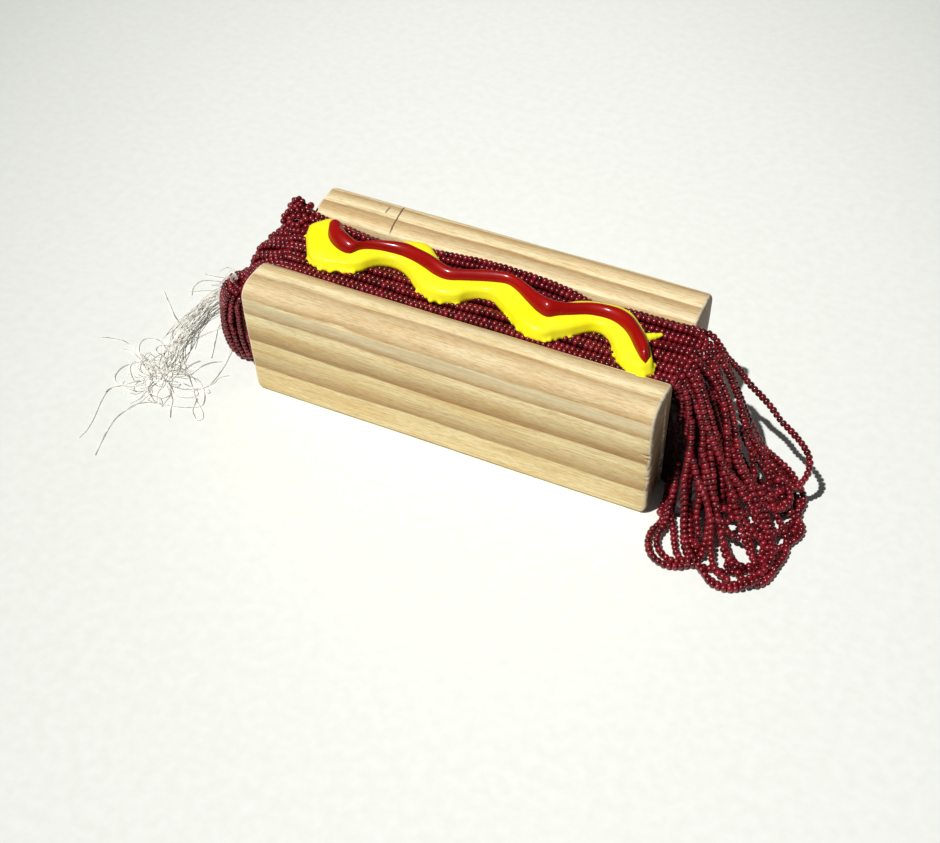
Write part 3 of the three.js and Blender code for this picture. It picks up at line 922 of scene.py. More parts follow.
    def build(self) -> None:
        """Builds the strings and a core of painted shade inside the lump and the lip."""
        strings = self.lip_strings() + self.near_strings() + self.mouth_strings()
        self.stringer.string("bead_lip", "bead_fold", strings, seed=21)
        strings = self.lump_strings() + self.knot_strings()
        self.stringer.string("bead_lump", "bead_fold", strings, seed=22)
        cores = [[[heap.point(height, angle, inset) + Vector((0.4, 0, 0))
                   for angle in steps(0, 2 * math.pi, 16)[:-1]] for height in heights]
                 for heap, inset, heights in ((self.lip, 4.6, (27, 33, 38, 41.5)),
                                              (self.lump, 3.4, (1.2, 7, 14, 21, 27, 31)))]
        painted_shade_core("bead_fold_core", "bead_fold", self.core_finish, *cores, inside_out=True)


@dataclass
class Spill:
    """The loops that spill out of the channel and lie on the table."""

    stringer: BeadStringer
    hank: Hank
    core_finish: Material
    guides: tuple[tuple[Point, ...], ...] = (
        ((77.2, -12.3, 47.6), (82, -14, 42), (85.5, -18.5, 29), (85.7, -27, 14), (84.6, -35, 5),
         (83, -43.5, 3), (87, -52, 2.7)),
        ((77.2, -4, 49.2), (84, -5, 46), (91, -12, 33), (96, -21, 20), (99, -30, 11), (102.5, -41, 6),
         (106.5, -51.5, 2.7)),
        ((77.2, 4, 49.4), (86, 3, 46.5), (94, -2, 35), (101, -8, 23), (108, -15, 14), (115, -27, 8),
         (122.5, -40.5, 2.7)),
        ((77.2, 11, 49.2), (85.2, 10.3, 45.6), (91.5, 9.3, 35), (99.3, 8, 20.5), (108.5, 7.2, 10),
         (119, 1.6, 5), (129.6, -11, 2.7)))
    rest: float = 1.4  # height of a string that lies on the table
    # Strings that leave the channel, by row: each slopes down over the heap.
    leaving: tuple[tuple[tuple[float, ...], ...], ...] = (
        ((79, -13.6, 43.4), (79.8, -13, 37), (79.6, -12.8, 29), (79, -12.8, 19.5), (79, -12.9, 8.6),
         (79.6, -16, 2.4), (80.6, -22), (81, -29)),
        ((80, -13, 44.6), (82.5, -14.6, 38), (83, -14.8, 31), (82, -14.2, 22), (81, -13.8, 11),
         (81, -18, 3.4), (82.6, -26.5, 1.8), (82.6, -33), (81.2, -38), (81.6, -43), (84.4, -47.8),
         (89, -50), (93, -49.4), (96.6, -47.4), (99, -44.4), (100, -40), (100.4, -35, 3), (99, -31.8, 8),
         (95.6, -27, 12.6), (91.5, -24.2, 17)),
        ((80, -10.4, 44.8), (84, -11.8, 39), (88, -14.4, 31.5), (90, -18.2, 24.5), (92.4, -21.4, 19),
         (94.7, -25.5, 14.2), (98, -30.5, 8.8), (99.4, -36, 5.6), (100, -42.4, 3)),
        ((79.2, -7.4, 47.2), (83.4, -9.8, 43.4), (86.6, -11.8, 37.6), (90, -14.2, 31.8),
         (94.4, -16.4, 25.4), (98.6, -17.8, 20.2), (103.6, -18, 15.4), (109.6, -18.6, 11),
         (114.6, -17.6, 8), (118.6, -15.2, 6.4), (120.6, -10.8, 6.4), (118.6, -6.8, 8), (114.6, -5.4, 9.4)),
        ((79.6, -5.4, 46.4), (83.4, -6.8, 43), (86.6, -8.8, 38.8), (90.2, -11.2, 32.6), (93.8, -14, 26.4),
         (97, -16.4, 20), (101, -19.6, 15), (105, -22.6, 11), (109, -27, 8), (113, -32, 5.4),
         (116.6, -38, 3.6)),
        ((79.6, -3, 46.6), (83, -5.2, 43), (86.4, -7.4, 36.6), (89, -10, 29), (92.4, -13, 21),
         (96.4, -15.4, 14.6), (100.6, -18, 9.6), (105, -21, 6.6), (110, -25, 4.6)),
        ((79, -0.2, 47.4), (84, -1.6, 44.8), (87.8, -2.8, 41.8), (91.6, -4.8, 36.2), (94.6, -8.4, 30.4),
         (96.4, -11.4, 25), (98.6, -15, 19), (101.6, -20, 13.6), (104, -26, 9.4)),
        ((80, 2.8, 47.4), (84.4, 1.4, 45), (88.4, -0.4, 41.8), (92.8, -2.6, 36), (96.4, -5.6, 30.2),
         (99.2, -9, 24.4), (102, -11.8, 19.2), (106.6, -13.4, 14), (112, -14.4, 9.5), (117.4, -14.4, 5.6)),
        ((80.6, 5.8, 47), (84.6, 5, 43.6), (87.8, 4, 37), (91.4, 2, 29.6), (95, -1, 22), (99, -3.6, 15.6),
         (103.8, -5.6, 10.8), (109, -7, 7.4), (114, -8.6, 5)),
        ((81, 8.2, 46.6), (85.8, 7.2, 43.8), (90.6, 5.4, 38.4), (95.4, 3.8, 30.4), (99.4, 2, 23.4),
         (104, 0.4, 16.8), (109.6, 0.6, 10.2), (115.4, 0, 6), (120, -3, 4)),
        ((80.8, 10.6, 46), (85.4, 9.8, 43), (89.4, 8.8, 38), (92.8, 8.2, 32), (96.8, 8, 23.8),
         (101.2, 7.2, 16.8), (106, 4.8, 12.2), (111, 5.2, 8.2), (116, 3, 6), (120.6, 0, 4)))
    # Strings that show lower down, and the loops on the table.
    strays: tuple[tuple[tuple[float, ...], ...], ...] = (
        ((85.6, -12.6, 20), (86.7, -14, 16), (88.1, -15.8, 12), (89.9, -18.4, 9), (91.6, -21.6, 6.6),
         (93.3, -25.8, 4.6), (94.7, -30.6, 3), (95.8, -35.9, 2), (97.4, -40, 4)),
        ((82.6, -18, 16), (83.3, -23.5, 9), (84.1, -28.4, 5.6), (84.6, -34.3, 3.2), (83.8, -39.4, 2.4),
         (85.2, -43.9, 2), (88.6, -46.9, 1.8), (92.6, -47.6, 1.8), (97, -47, 3)),
        ((86, -21, 16), (87.6, -23.4, 11), (89.2, -25.6, 8), (91.3, -30.1, 6), (93.4, -34.9, 4.4),
         (95.2, -38.7, 3.2), (97.7, -40.8, 2), (99.6, -39.8, 2), (99.9, -36.6, 2.8), (99.2, -33.3, 4.4),
         (98.2, -29.4, 6.6), (97, -24, 11)),
        ((111, -22, 8), (113.8, -26, 6), (115.8, -27.8, 4.6), (117.4, -29.9, 3), (117.8, -33.4, 1.8),
         (117, -37.2), (114.8, -40), (112.4, -41.6), (108.6, -42, 1.6)),
        ((84, -15, 34), (85.5, -17.6, 27), (86.3, -22.2, 19), (87.6, -26.7, 11.6), (89.9, -31.9, 6.2),
         (92.9, -39.9, 3.4), (97.3, -46.1, 1.8)),
        ((84, -14, 30), (86, -18.6, 24), (89.2, -21.5, 18.6), (92.6, -25.5, 13), (93.8, -30.5, 8),
         (96.6, -35.9, 5)),
        ((90, -14, 29), (92.1, -16.8, 25), (94.7, -20, 19.6), (97.4, -24.6, 14.4), (100.3, -28.3, 9.6),
         (103.4, -33.7, 6.6), (106.8, -39.5, 4.4), (110.8, -42.5, 2.4), (115, -45.6)),
        ((94, -14.6, 24), (97, -17.6, 20.2), (100.8, -19.6, 15.4), (103.8, -23.7, 11.2), (108, -26.1, 8.2),
         (113.6, -28.4, 5.6), (119.1, -30.7, 3.2)),
        ((96, -9, 25), (99.5, -12, 21), (103.1, -14, 16.8), (107.4, -15, 12.8), (111.6, -14.4, 9.2),
         (115.9, -13, 6), (120.6, -9.8, 3.2)),
        ((98, -1.6, 24), (101.5, -2.8, 19.4), (105.5, -3.2, 14.2), (110.1, -3, 8.7), (114.5, -4.3, 5.8),
         (119.6, -6.3, 3.5), (123.8, -7.6, 1.6)),
        ((104, -5, 17), (106.8, -9.5, 13.5), (107.7, -15.6, 12.4), (108.7, -20, 10), (112.5, -23.6, 7.8),
         (116.8, -26.1, 4.8), (120, -29, 2.4)),
        ((104.6, 2, 14), (108, -0.4, 10.4), (111.8, -6, 8.4), (113.3, -13.2, 7.6), (112.1, -21.3, 8.8),
         (108.6, -24.9, 9), (104.6, -25.7, 9.8), (100, -27, 11)),
        ((107, 3, 12), (113.5, 1.9, 5.6), (118.3, -1.5, 3.3), (123, -5.4, 1.8), (124.7, -12.2, 1.6),
         (125, -17.9), (123, -22)),
        ((101, -31, 9), (104.4, -29.8, 8.4), (105.7, -26.8, 9.7), (109.4, -24, 9.5), (112.5, -20, 8.3),
         (116.7, -15.4, 5.6), (120.8, -10.3, 3.2)),
        ((102, -31, 8), (106.1, -32.6, 6.4), (109.7, -32.8, 6), (112.9, -30, 6.2), (117.1, -28.4, 4.8),
         (120.6, -22, 3.2), (123.2, -15.5, 2)),
        ((100, -17, 17), (104.9, -19, 12.9), (110.7, -21.4, 8.9), (116.5, -25, 5.3), (121.6, -30.7, 2.4),
         (123, -37)),
        ((83, -20, 14), (83.2, -24.6, 7), (84.6, -29.4, 3.6), (87, -33.4, 2.2), (89.4, -38.7), (92, -43.8),
         (95.4, -46.2, 1.6), (99.6, -46.2, 1.6), (103.8, -45.6), (107.6, -45.2), (111.2, -44), (115.4, -41),
         (118.6, -37), (119.6, -31, 1.6), (118.4, -25, 2.6), (115, -21.6, 4), (110, -19.5, 6.5),
         (106, -17, 11)),
        ((86.5, -20.5, 22), (87, -23.5, 14), (88.6, -27, 7), (90.6, -32.6, 2.6), (93.8, -38.4, 1.6),
         (97.2, -43.2, 1.6), (101.2, -46.9), (105.2, -49.7), (110, -50.6), (113.6, -48.4), (116.4, -44.8),
         (118.6, -41.5, 1.5), (120.6, -36.5, 1.5), (120.8, -30.5, 2), (119, -25, 4), (115, -20, 7),
         (110, -14, 12)),
        ((89.5, -18.2, 26), (93.4, -21.6, 19.6), (98.6, -26.8, 12), (103.6, -33.6, 7), (108, -39.6, 4),
         (112, -43.4, 3.2), (115.8, -46, 1.5), (119.2, -46.2), (122, -43.6), (123.4, -39), (124.2, -34.2),
         (125, -29.2), (123.8, -23.8, 1.8), (121.2, -20, 3.2), (117, -16.5, 6), (112, -10, 11)),
        ((86.5, -24.5, 16), (89, -29, 10.6), (92, -36.6, 5.2), (96, -43.2, 3.6), (101.4, -48, 3.4),
         (106, -51, 1.6), (110.6, -51.4), (115, -49.6), (118.6, -46.8, 3.2), (121.6, -42)),
        ((93, -12, 28), (96, -14.8, 20), (99, -20, 10), (100.8, -24.6, 5), (104, -31.4, 2.6),
         (107.8, -36.4, 1.6), (111, -40.2, 1.8), (113.6, -42, 3.6)),
        ((88, -21, 22.4), (91.5, -24.4, 17), (95.8, -27.6, 12.6), (99.4, -32.4, 8.6), (101.4, -38, 5.6),
         (103.6, -43, 3.8), (106.6, -47.4, 3.6), (111, -49, 3.2)),
        ((95.4, 4.2, 29), (99.4, 1, 22.6), (104.4, 0.4, 15.4), (109.8, -1.2, 9.8), (114.4, -5.2, 7),
         (115.6, -10, 7), (113.6, -14.6, 8.6)),
        ((99.5, 5, 20), (104.6, 3, 14.6), (110.6, 3.2, 10.6), (116, 2.6, 7.6), (120.2, 0.8, 4.6),
         (123.4, -2.2, 2.6), (124.6, -6, 1.5), (123, -9.6), (119.2, -11.8), (115, -11.6, 2.4)),
        ((108, 0.6, 12), (112.6, 0.2, 8), (116, -1.4, 5.6), (119.2, -3.8, 3.4), (119.6, -7, 2.8),
         (117.6, -9.6, 3)),
        ((116.5, -9, 8), (120, -11.6, 4.6), (123, -12.9, 2.6), (126, -14, 1.5), (127.3, -17.6),
         (126.2, -22), (123.8, -26.2, 1.6), (121.6, -30.5, 3.2)),
        ((104, -24, 13), (108.6, -29.6, 8.6), (112.8, -34.4, 5.4), (116.6, -38.4, 3.6), (119.8, -42, 3.2)),
        ((108, -17, 13.6), (113, -21.6, 9), (117.6, -26, 5.4), (120.8, -31.6, 3.8), (121.6, -37, 3.2),
         (120.2, -42, 2.8)))
    loose: tuple[Point, ...] = (
        (70, 11.4, 49.2), (74, 12.6, 48.8), (77.2, 12.9, 48.4), (80.5, 13.4, 47.4), (84, 12.8, 44.2),
        (87, 13.1, 40), (91.5, 14.2, 35), (95.4, 13.7, 31), (99.9, 13, 28), (104.6, 11.4, 25.5),
        (109.2, 8.6, 23.3), (114.4, 6, 21.8), (119, 2.8, 20.8), (122.5, -1, 19.6), (123.6, -3.8, 16.6),
        (122.6, -5.6, 12.4), (120.4, -6.4, 9.6), (117, -8, 7.6))

    def surface(self, across: float, along: float) -> Vector:
        """A place on the sheet that the loops lie in.

        Args:
            across: From 0 at the near edge to 1 at the far edge.
            along: From 0 at the channel's mouth to 1 at the table.

        Returns:
            The place.
        """
        rows, columns = 60, 120
        lines = [even_path(smooth_path(guide, 1.5), rows) for guide in self.guides]
        index = min(rows, max(0, round(along * rows)))
        row = even_path(smooth_path([line[index] for line in lines], 1.0), columns)
        return row[round(across * columns)]

    def sheet_strings(self) -> Strings:
        """Strings under the sheet, from the channel down to where the heap on the table hides them."""
        draw = random.Random(32)
        inwards = Vector((0.35, 0.2, 0.9))
        strings = []
        for row in (1, 3, 6, 8):
            share = (row + 0.5) / (self.hank.rows - 1)
            wave = Drift.drawn(draw, 0.035)
            lift = Drift.drawn(draw, 0.5)
            start = [self.hank.row_point(row, x, 1) for x in (72, 75)]
            line = []
            for along in steps(0.04, lerp(0.5, 0.66, share), 10):
                across = min(0.97, max(0.03, share + wave.at(80 * along)))
                drop = 8 + lift.at(60 * along)
                line.append(self.surface(across, along) - inwards * drop)
            strings.append(smooth_path([*start, *line]))
        return strings

    def build(self) -> None:
        """Builds the sheet's strings, the loops on the table, the loose loop and a core of painted shade."""
        sheet = self.sheet_strings()
        for row, route in enumerate(self.leaving):
            start = [self.hank.row_point(row, x) for x in (74, 76.5)]
            sheet.append(smooth_path([*start, *laid(route, self.rest)]))
        self.stringer.string("bead_spill_sheet", "bead_spill", sheet, seed=41)
        loops = [smooth_path(laid(stray, self.rest)) for stray in self.strays]
        self.stringer.string("bead_spill_loops", "bead_spill", loops, seed=42)
        self.stringer.string("bead_loose_loop", "bead_loop", [smooth_path(self.loose)], seed=43)
        rings = []
        inwards = Vector((3.4, 1.4, 9))  # from the sheet to the core's top
        for along in steps(0.02, 0.6, 8):
            top = [self.surface(across, along) - inwards for across in steps(0.08, 0.92, 8)]
            rings.append([*top, *((point.x - 3, point.y, 0.8) for point in (top[-1], top[0]))])
        painted_shade_core("bead_spill_core", "bead_spill", self.core_finish, rings)


# ---- Boards ---------------------------------------------------------------


@dataclass
class Dent:
    """A nick in a board's outer face: its place, half length, half height and depth."""

    x: float
    z: float
    length: float
    height: float
    depth: float

    def at(self, x: float, z: float) -> float:
        """Depth of the nick at a place."""
        return self.depth * bump(x, self.x, self.length) * bump(z, self.z, self.height)


@dataclass
class Board:
    """A pine board on edge: a flat foot, a side that leans out and a rounded shoulder."""

    name: str
    node: str
    finish: Material
    length: float
    width: float
    middle: float  # X of the board's middle
    face: float  # Y of its inner face
    outwards: float  # +1 where the board lies towards +Y from that face, -1 towards -Y
    seed: int  # of the wave in its faces
    shoulder: float  # how far in from the outer side its flat top ends
    turn: float = 0.0  # about the vertical, in radians
    taper: float = 0.0  # how much wider one end is than the other, as a share
    crease: float = 46.0  # height of the line where the side meets the shoulder
    edge: float = 1.5  # radius of the rounded ends
    worn: float = 0.0  # how far the foot's corner at the far end of X is worn back
    dents: tuple[Dent, ...] = ()

    def section(self) -> list[tuple[float, float]]:
        """The board's outline, out from the inner face and up, as even points about 0.7 apart."""
        width = self.width
        outline = [(0.9, 0.0), (14.6, 0.0), (15.5, 0.5), (15.9, 2.0), (16.5, 12.0), (17.3, 24.0),
                   (width - 0.15, 37.0), (width - 0.02, 43.0), (width, self.crease)]
        shoulder = [(width - 0.5, self.crease + 1.6), (width - 1.7, self.crease + 3.2),
                    (width - 3.9, 50.5), (width - self.shoulder, 51.0)]
        inner = [(width * 0.35, 50.75), (3.6, 50.3), (1.5, 49.6), (0.35, 48.2), (0.0, 46.0), (0.0, 0.9),
                 (0.3, 0.3)]
        corner = [Vector((a, b, 0)) for a, b in (*outline, *shoulder, *inner, outline[0])]
        dense = []
        for start, stop in zip(corner, corner[1:]):
            count = max(1, round((stop - start).length / 0.7))
            dense += [start.lerp(stop, index / count) for index in range(count)]
        for _ in range(2):
            dense = [point if abs(point.y - self.crease) < 0.1 else
                     (dense[index - 1] + point * 2 + dense[(index + 1) % len(dense)]) / 4
                     for index, point in enumerate(dense)]
        return [(point.x, point.y) for point in dense]

    def stations(self) -> list[float]:
        """Places along the board, closer together at its ends."""
        half = self.length / 2
        near_end = [-half + self.edge * (1 - math.cos(angle)) for angle in steps(0, math.pi / 2, 5)]
        middle = steps(-half + self.edge, half - self.edge - 6, 86)[1:-1]
        far_end = steps(half - self.edge - 6, half - self.edge, 10)
        tip = [half - self.edge * (1 - math.cos(angle)) for angle in steps(math.pi / 2, 0, 5)[1:]]
        return [*near_end, *middle, *far_end, *tip]

    def build(self) -> None:
        """Builds the board with its sanded ends, a slight wave in its faces and its nicks."""
        outline = self.section()
        sides = len(outline)
        half = self.length / 2
        points = []
        for x in self.stations():
            gap = half - abs(x)
            round_in = self.edge - math.sqrt(max(0.0, self.edge ** 2 - max(0.0, self.edge - gap) ** 2))
            for index, (out, up) in enumerate(outline):
                before, after = outline[index - 1], outline[(index + 1) % sides]
                normal = Vector((after[1] - before[1], before[0] - after[0])).normalized()
                wave = 0.16 * noise.noise(Vector((x / 34, out / 9 + self.seed, up / 9)))
                wave += 0.05 * noise.noise(Vector((x / 9, out / 1.6 + self.seed, up / 1.6)))
                depth = round_in - wave
                if normal.x > 0.4:
                    depth += sum(dent.at(x, up) for dent in self.dents)
                widen = 1 + self.taper * (x / self.length) * smoothstep(out, 0.5, 6)
                spot_out = max(0.0, (out - normal.x * depth) * widen)
                spot_up = max(0.0, up - normal.y * depth)
                y = self.face + self.outwards * spot_out + x * math.tan(self.turn)
                back = self.worn * max(0.0, 1 - up / 6) ** 2 * smoothstep(x, half - 6, half)
                points.append((x + self.middle - back, y, spot_up))
        faces = ring_faces(len(self.stations()), sides)
        if self.outwards > 0:
            faces = [tuple(reversed(face)) for face in faces]
        mesh = mesh_from(self.name, points, faces)
        mesh.set_sharp_from_angle(angle=math.radians(40))
        mesh.materials.append(self.finish)
        hand_over(link(self.name, mesh), "pine", self.node)


# ---- Sauces ---------------------------------------------------------------


@dataclass(frozen=True)
class Station:
    """A place on a ribbon: its middle, the direction across it, half its width and how far along it is."""

    middle: Vector
    aside: Vector
    half: float
    share: float


@dataclass
class Ribbon:
    """A poured line of sauce between its near edge and its far edge, in plan."""

    near: tuple[tuple[float, float], ...]
    far: tuple[tuple[float, float], ...]
    height: float
    flatness: float = 2.4  # the higher, the flatter its middle and the steeper its edges
    swells: tuple[tuple[float, float, float], ...] = ()  # share of the length, half length and extra height
    stations: list[Station] = field(init=False)

    def __post_init__(self) -> None:
        """Works out the stations once."""
        near, far = (smooth_path([(x, y, 0) for x, y in edge], parts=8) for edge in (self.near, self.far))
        count = len(near) - 1
        self.stations = []
        for index, (start, stop) in enumerate(zip(near, far)):
            across = stop - start
            self.stations.append(Station((start + stop) / 2, across.normalized(), across.length / 2,
                                         index / count))

    def rounding(self, share: float) -> float:
        """How full the ribbon is at a place along it, from 0 at its tips."""
        extra = sum(rise * bump(share, place, half) for place, half, rise in self.swells)
        return smoothstep(min(share, 1 - share), -0.012, 0.03) * (1 + extra)

    def fullness(self, across: float) -> float:
        """How full it is at a place across it, from 1 in the middle to 0 at an edge."""
        return max(0.0, 1 - min(abs(across), 1.0) ** self.flatness) ** 0.5

    def height_at(self, x: float, y: float) -> float:
        """The ribbon's height above the beads at a place in plan, 0 beside it."""
        best = 0.0
        for station in self.stations[::2]:
            away = math.hypot(station.middle.x - x, station.middle.y - y) / station.half
            if away < 1:
                best = max(best, self.height * self.fullness(away) * self.rounding(station.share))
        return best


@dataclass
class Sauce:
    """A ribbon of sauce, with an edge that runs between the beads, made one smooth skin."""

    name: str
    node: str
    ribbon: Ribbon
    finish: Material
    slot: str
    bed: Callable[[float, float], float]  # height of what it lies on
    seed: int
    lobe: float  # radius of the drops along the edge
    voxel: float = 0.42  # size of the cells that its skin is made from
    drops: tuple[tuple[float, float, float, float], ...] = ()  # X, Y, radius and rise of single drops
    depth: float = 1.3  # how far it sinks into its bed

    def loft(self, points: list[Vector], faces: list[tuple[int, ...]]) -> None:
        """The ribbon's body."""
        rings = []
        draw = random.Random(self.seed)
        swells = Drift.drawn(draw, 0.06)
        for station in self.ribbon.stations:
            full = self.ribbon.rounding(station.share)
            half = station.half * lerp(0.8, 0.98, full)
            swell = 1 + swells.at(station.middle.x)
            rings.append([])
            for across in steps(-1, 1, 14):
                spot = station.middle + station.aside * (across * half)
                rise = self.ribbon.height * self.ribbon.fullness(across) * full * swell
                rings[-1].append(Vector((spot.x, spot.y, self.bed(spot.x, spot.y) + 0.2 + rise)))
            for across in steps(1, -1, 6):
                spot = station.middle + station.aside * (across * half * 0.94)
                rings[-1].append(Vector((spot.x, spot.y, self.bed(spot.x, spot.y) - self.depth)))
        add_solid(points, faces, rings)

    @staticmethod
    def ball(points: list[Vector], faces: list[tuple[int, ...]], centre: Point, size: Point) -> None:
        """A flattened ball that melts into the body."""
        rings = [[Vector((centre[0] + size[0] * math.sin(tilt) * math.cos(spin),
                          centre[1] + size[1] * math.sin(tilt) * math.sin(spin),
                          centre[2] - size[2] * math.cos(tilt)))
                  for spin in steps(0, 2 * math.pi, 10)[:-1]]
                 for tilt in steps(0.25, math.pi - 0.25, 5)]
        add_solid(points, faces, rings)

    def edge_drops(self, points: list[Vector], faces: list[tuple[int, ...]]) -> None:
        """Small drops along the edges that rest on the beads, some between each bead and the next."""
        draw = random.Random(self.seed + 5)
        for side in (-1, 1):
            last = None
            gap = 1.6
            for station in self.ribbon.stations:
                spot = station.middle + station.aside * (side * (station.half - self.lobe * 0.6))
                bridging = -7.5 < spot.y and spot.x > -60
                if bridging or (last is not None and (spot - last).length < gap):
                    continue
                last = spot.copy()
                gap = draw.uniform(0.9, 2.6)
                spot += station.aside * (side * draw.uniform(-0.5, 0.5))
                radius = self.lobe * draw.uniform(0.6, 1.25)
                level = self.bed(spot.x, spot.y) + draw.uniform(-0.7, 0.2)
                self.ball(points, faces, (spot.x, spot.y, level), (radius * 1.2, radius, radius * 0.9))

    def build(self) -> None:
        """Builds the body and its drops and joins them by a voxel remesh."""
        points: list[Vector] = []
        faces: list[tuple[int, ...]] = []
        self.loft(points, faces)
        if self.lobe:
            self.edge_drops(points, faces)
        for x, y, radius, rise in self.drops:
            self.ball(points, faces, (x, y, self.bed(x, y) + rise), (radius, radius, radius * 0.8))
        mesh = mesh_from(self.name, points, faces)
        carrier = link(self.name + "_rough", mesh)
        skin = carrier.modifiers.new("skin", "REMESH")
        skin.mode = "VOXEL"
        skin.voxel_size = self.voxel * MM
        skin.use_smooth_shade = True
        calm = carrier.modifiers.new("calm", "SMOOTH")
        calm.factor = 0.5
        calm.iterations = 5
        piece = settled(self.name, carrier)
        piece.data.materials.clear()
        piece.data.materials.append(self.finish)
        hand_over(piece, self.slot, self.node)


# ---- Strings --------------------------------------------------------------


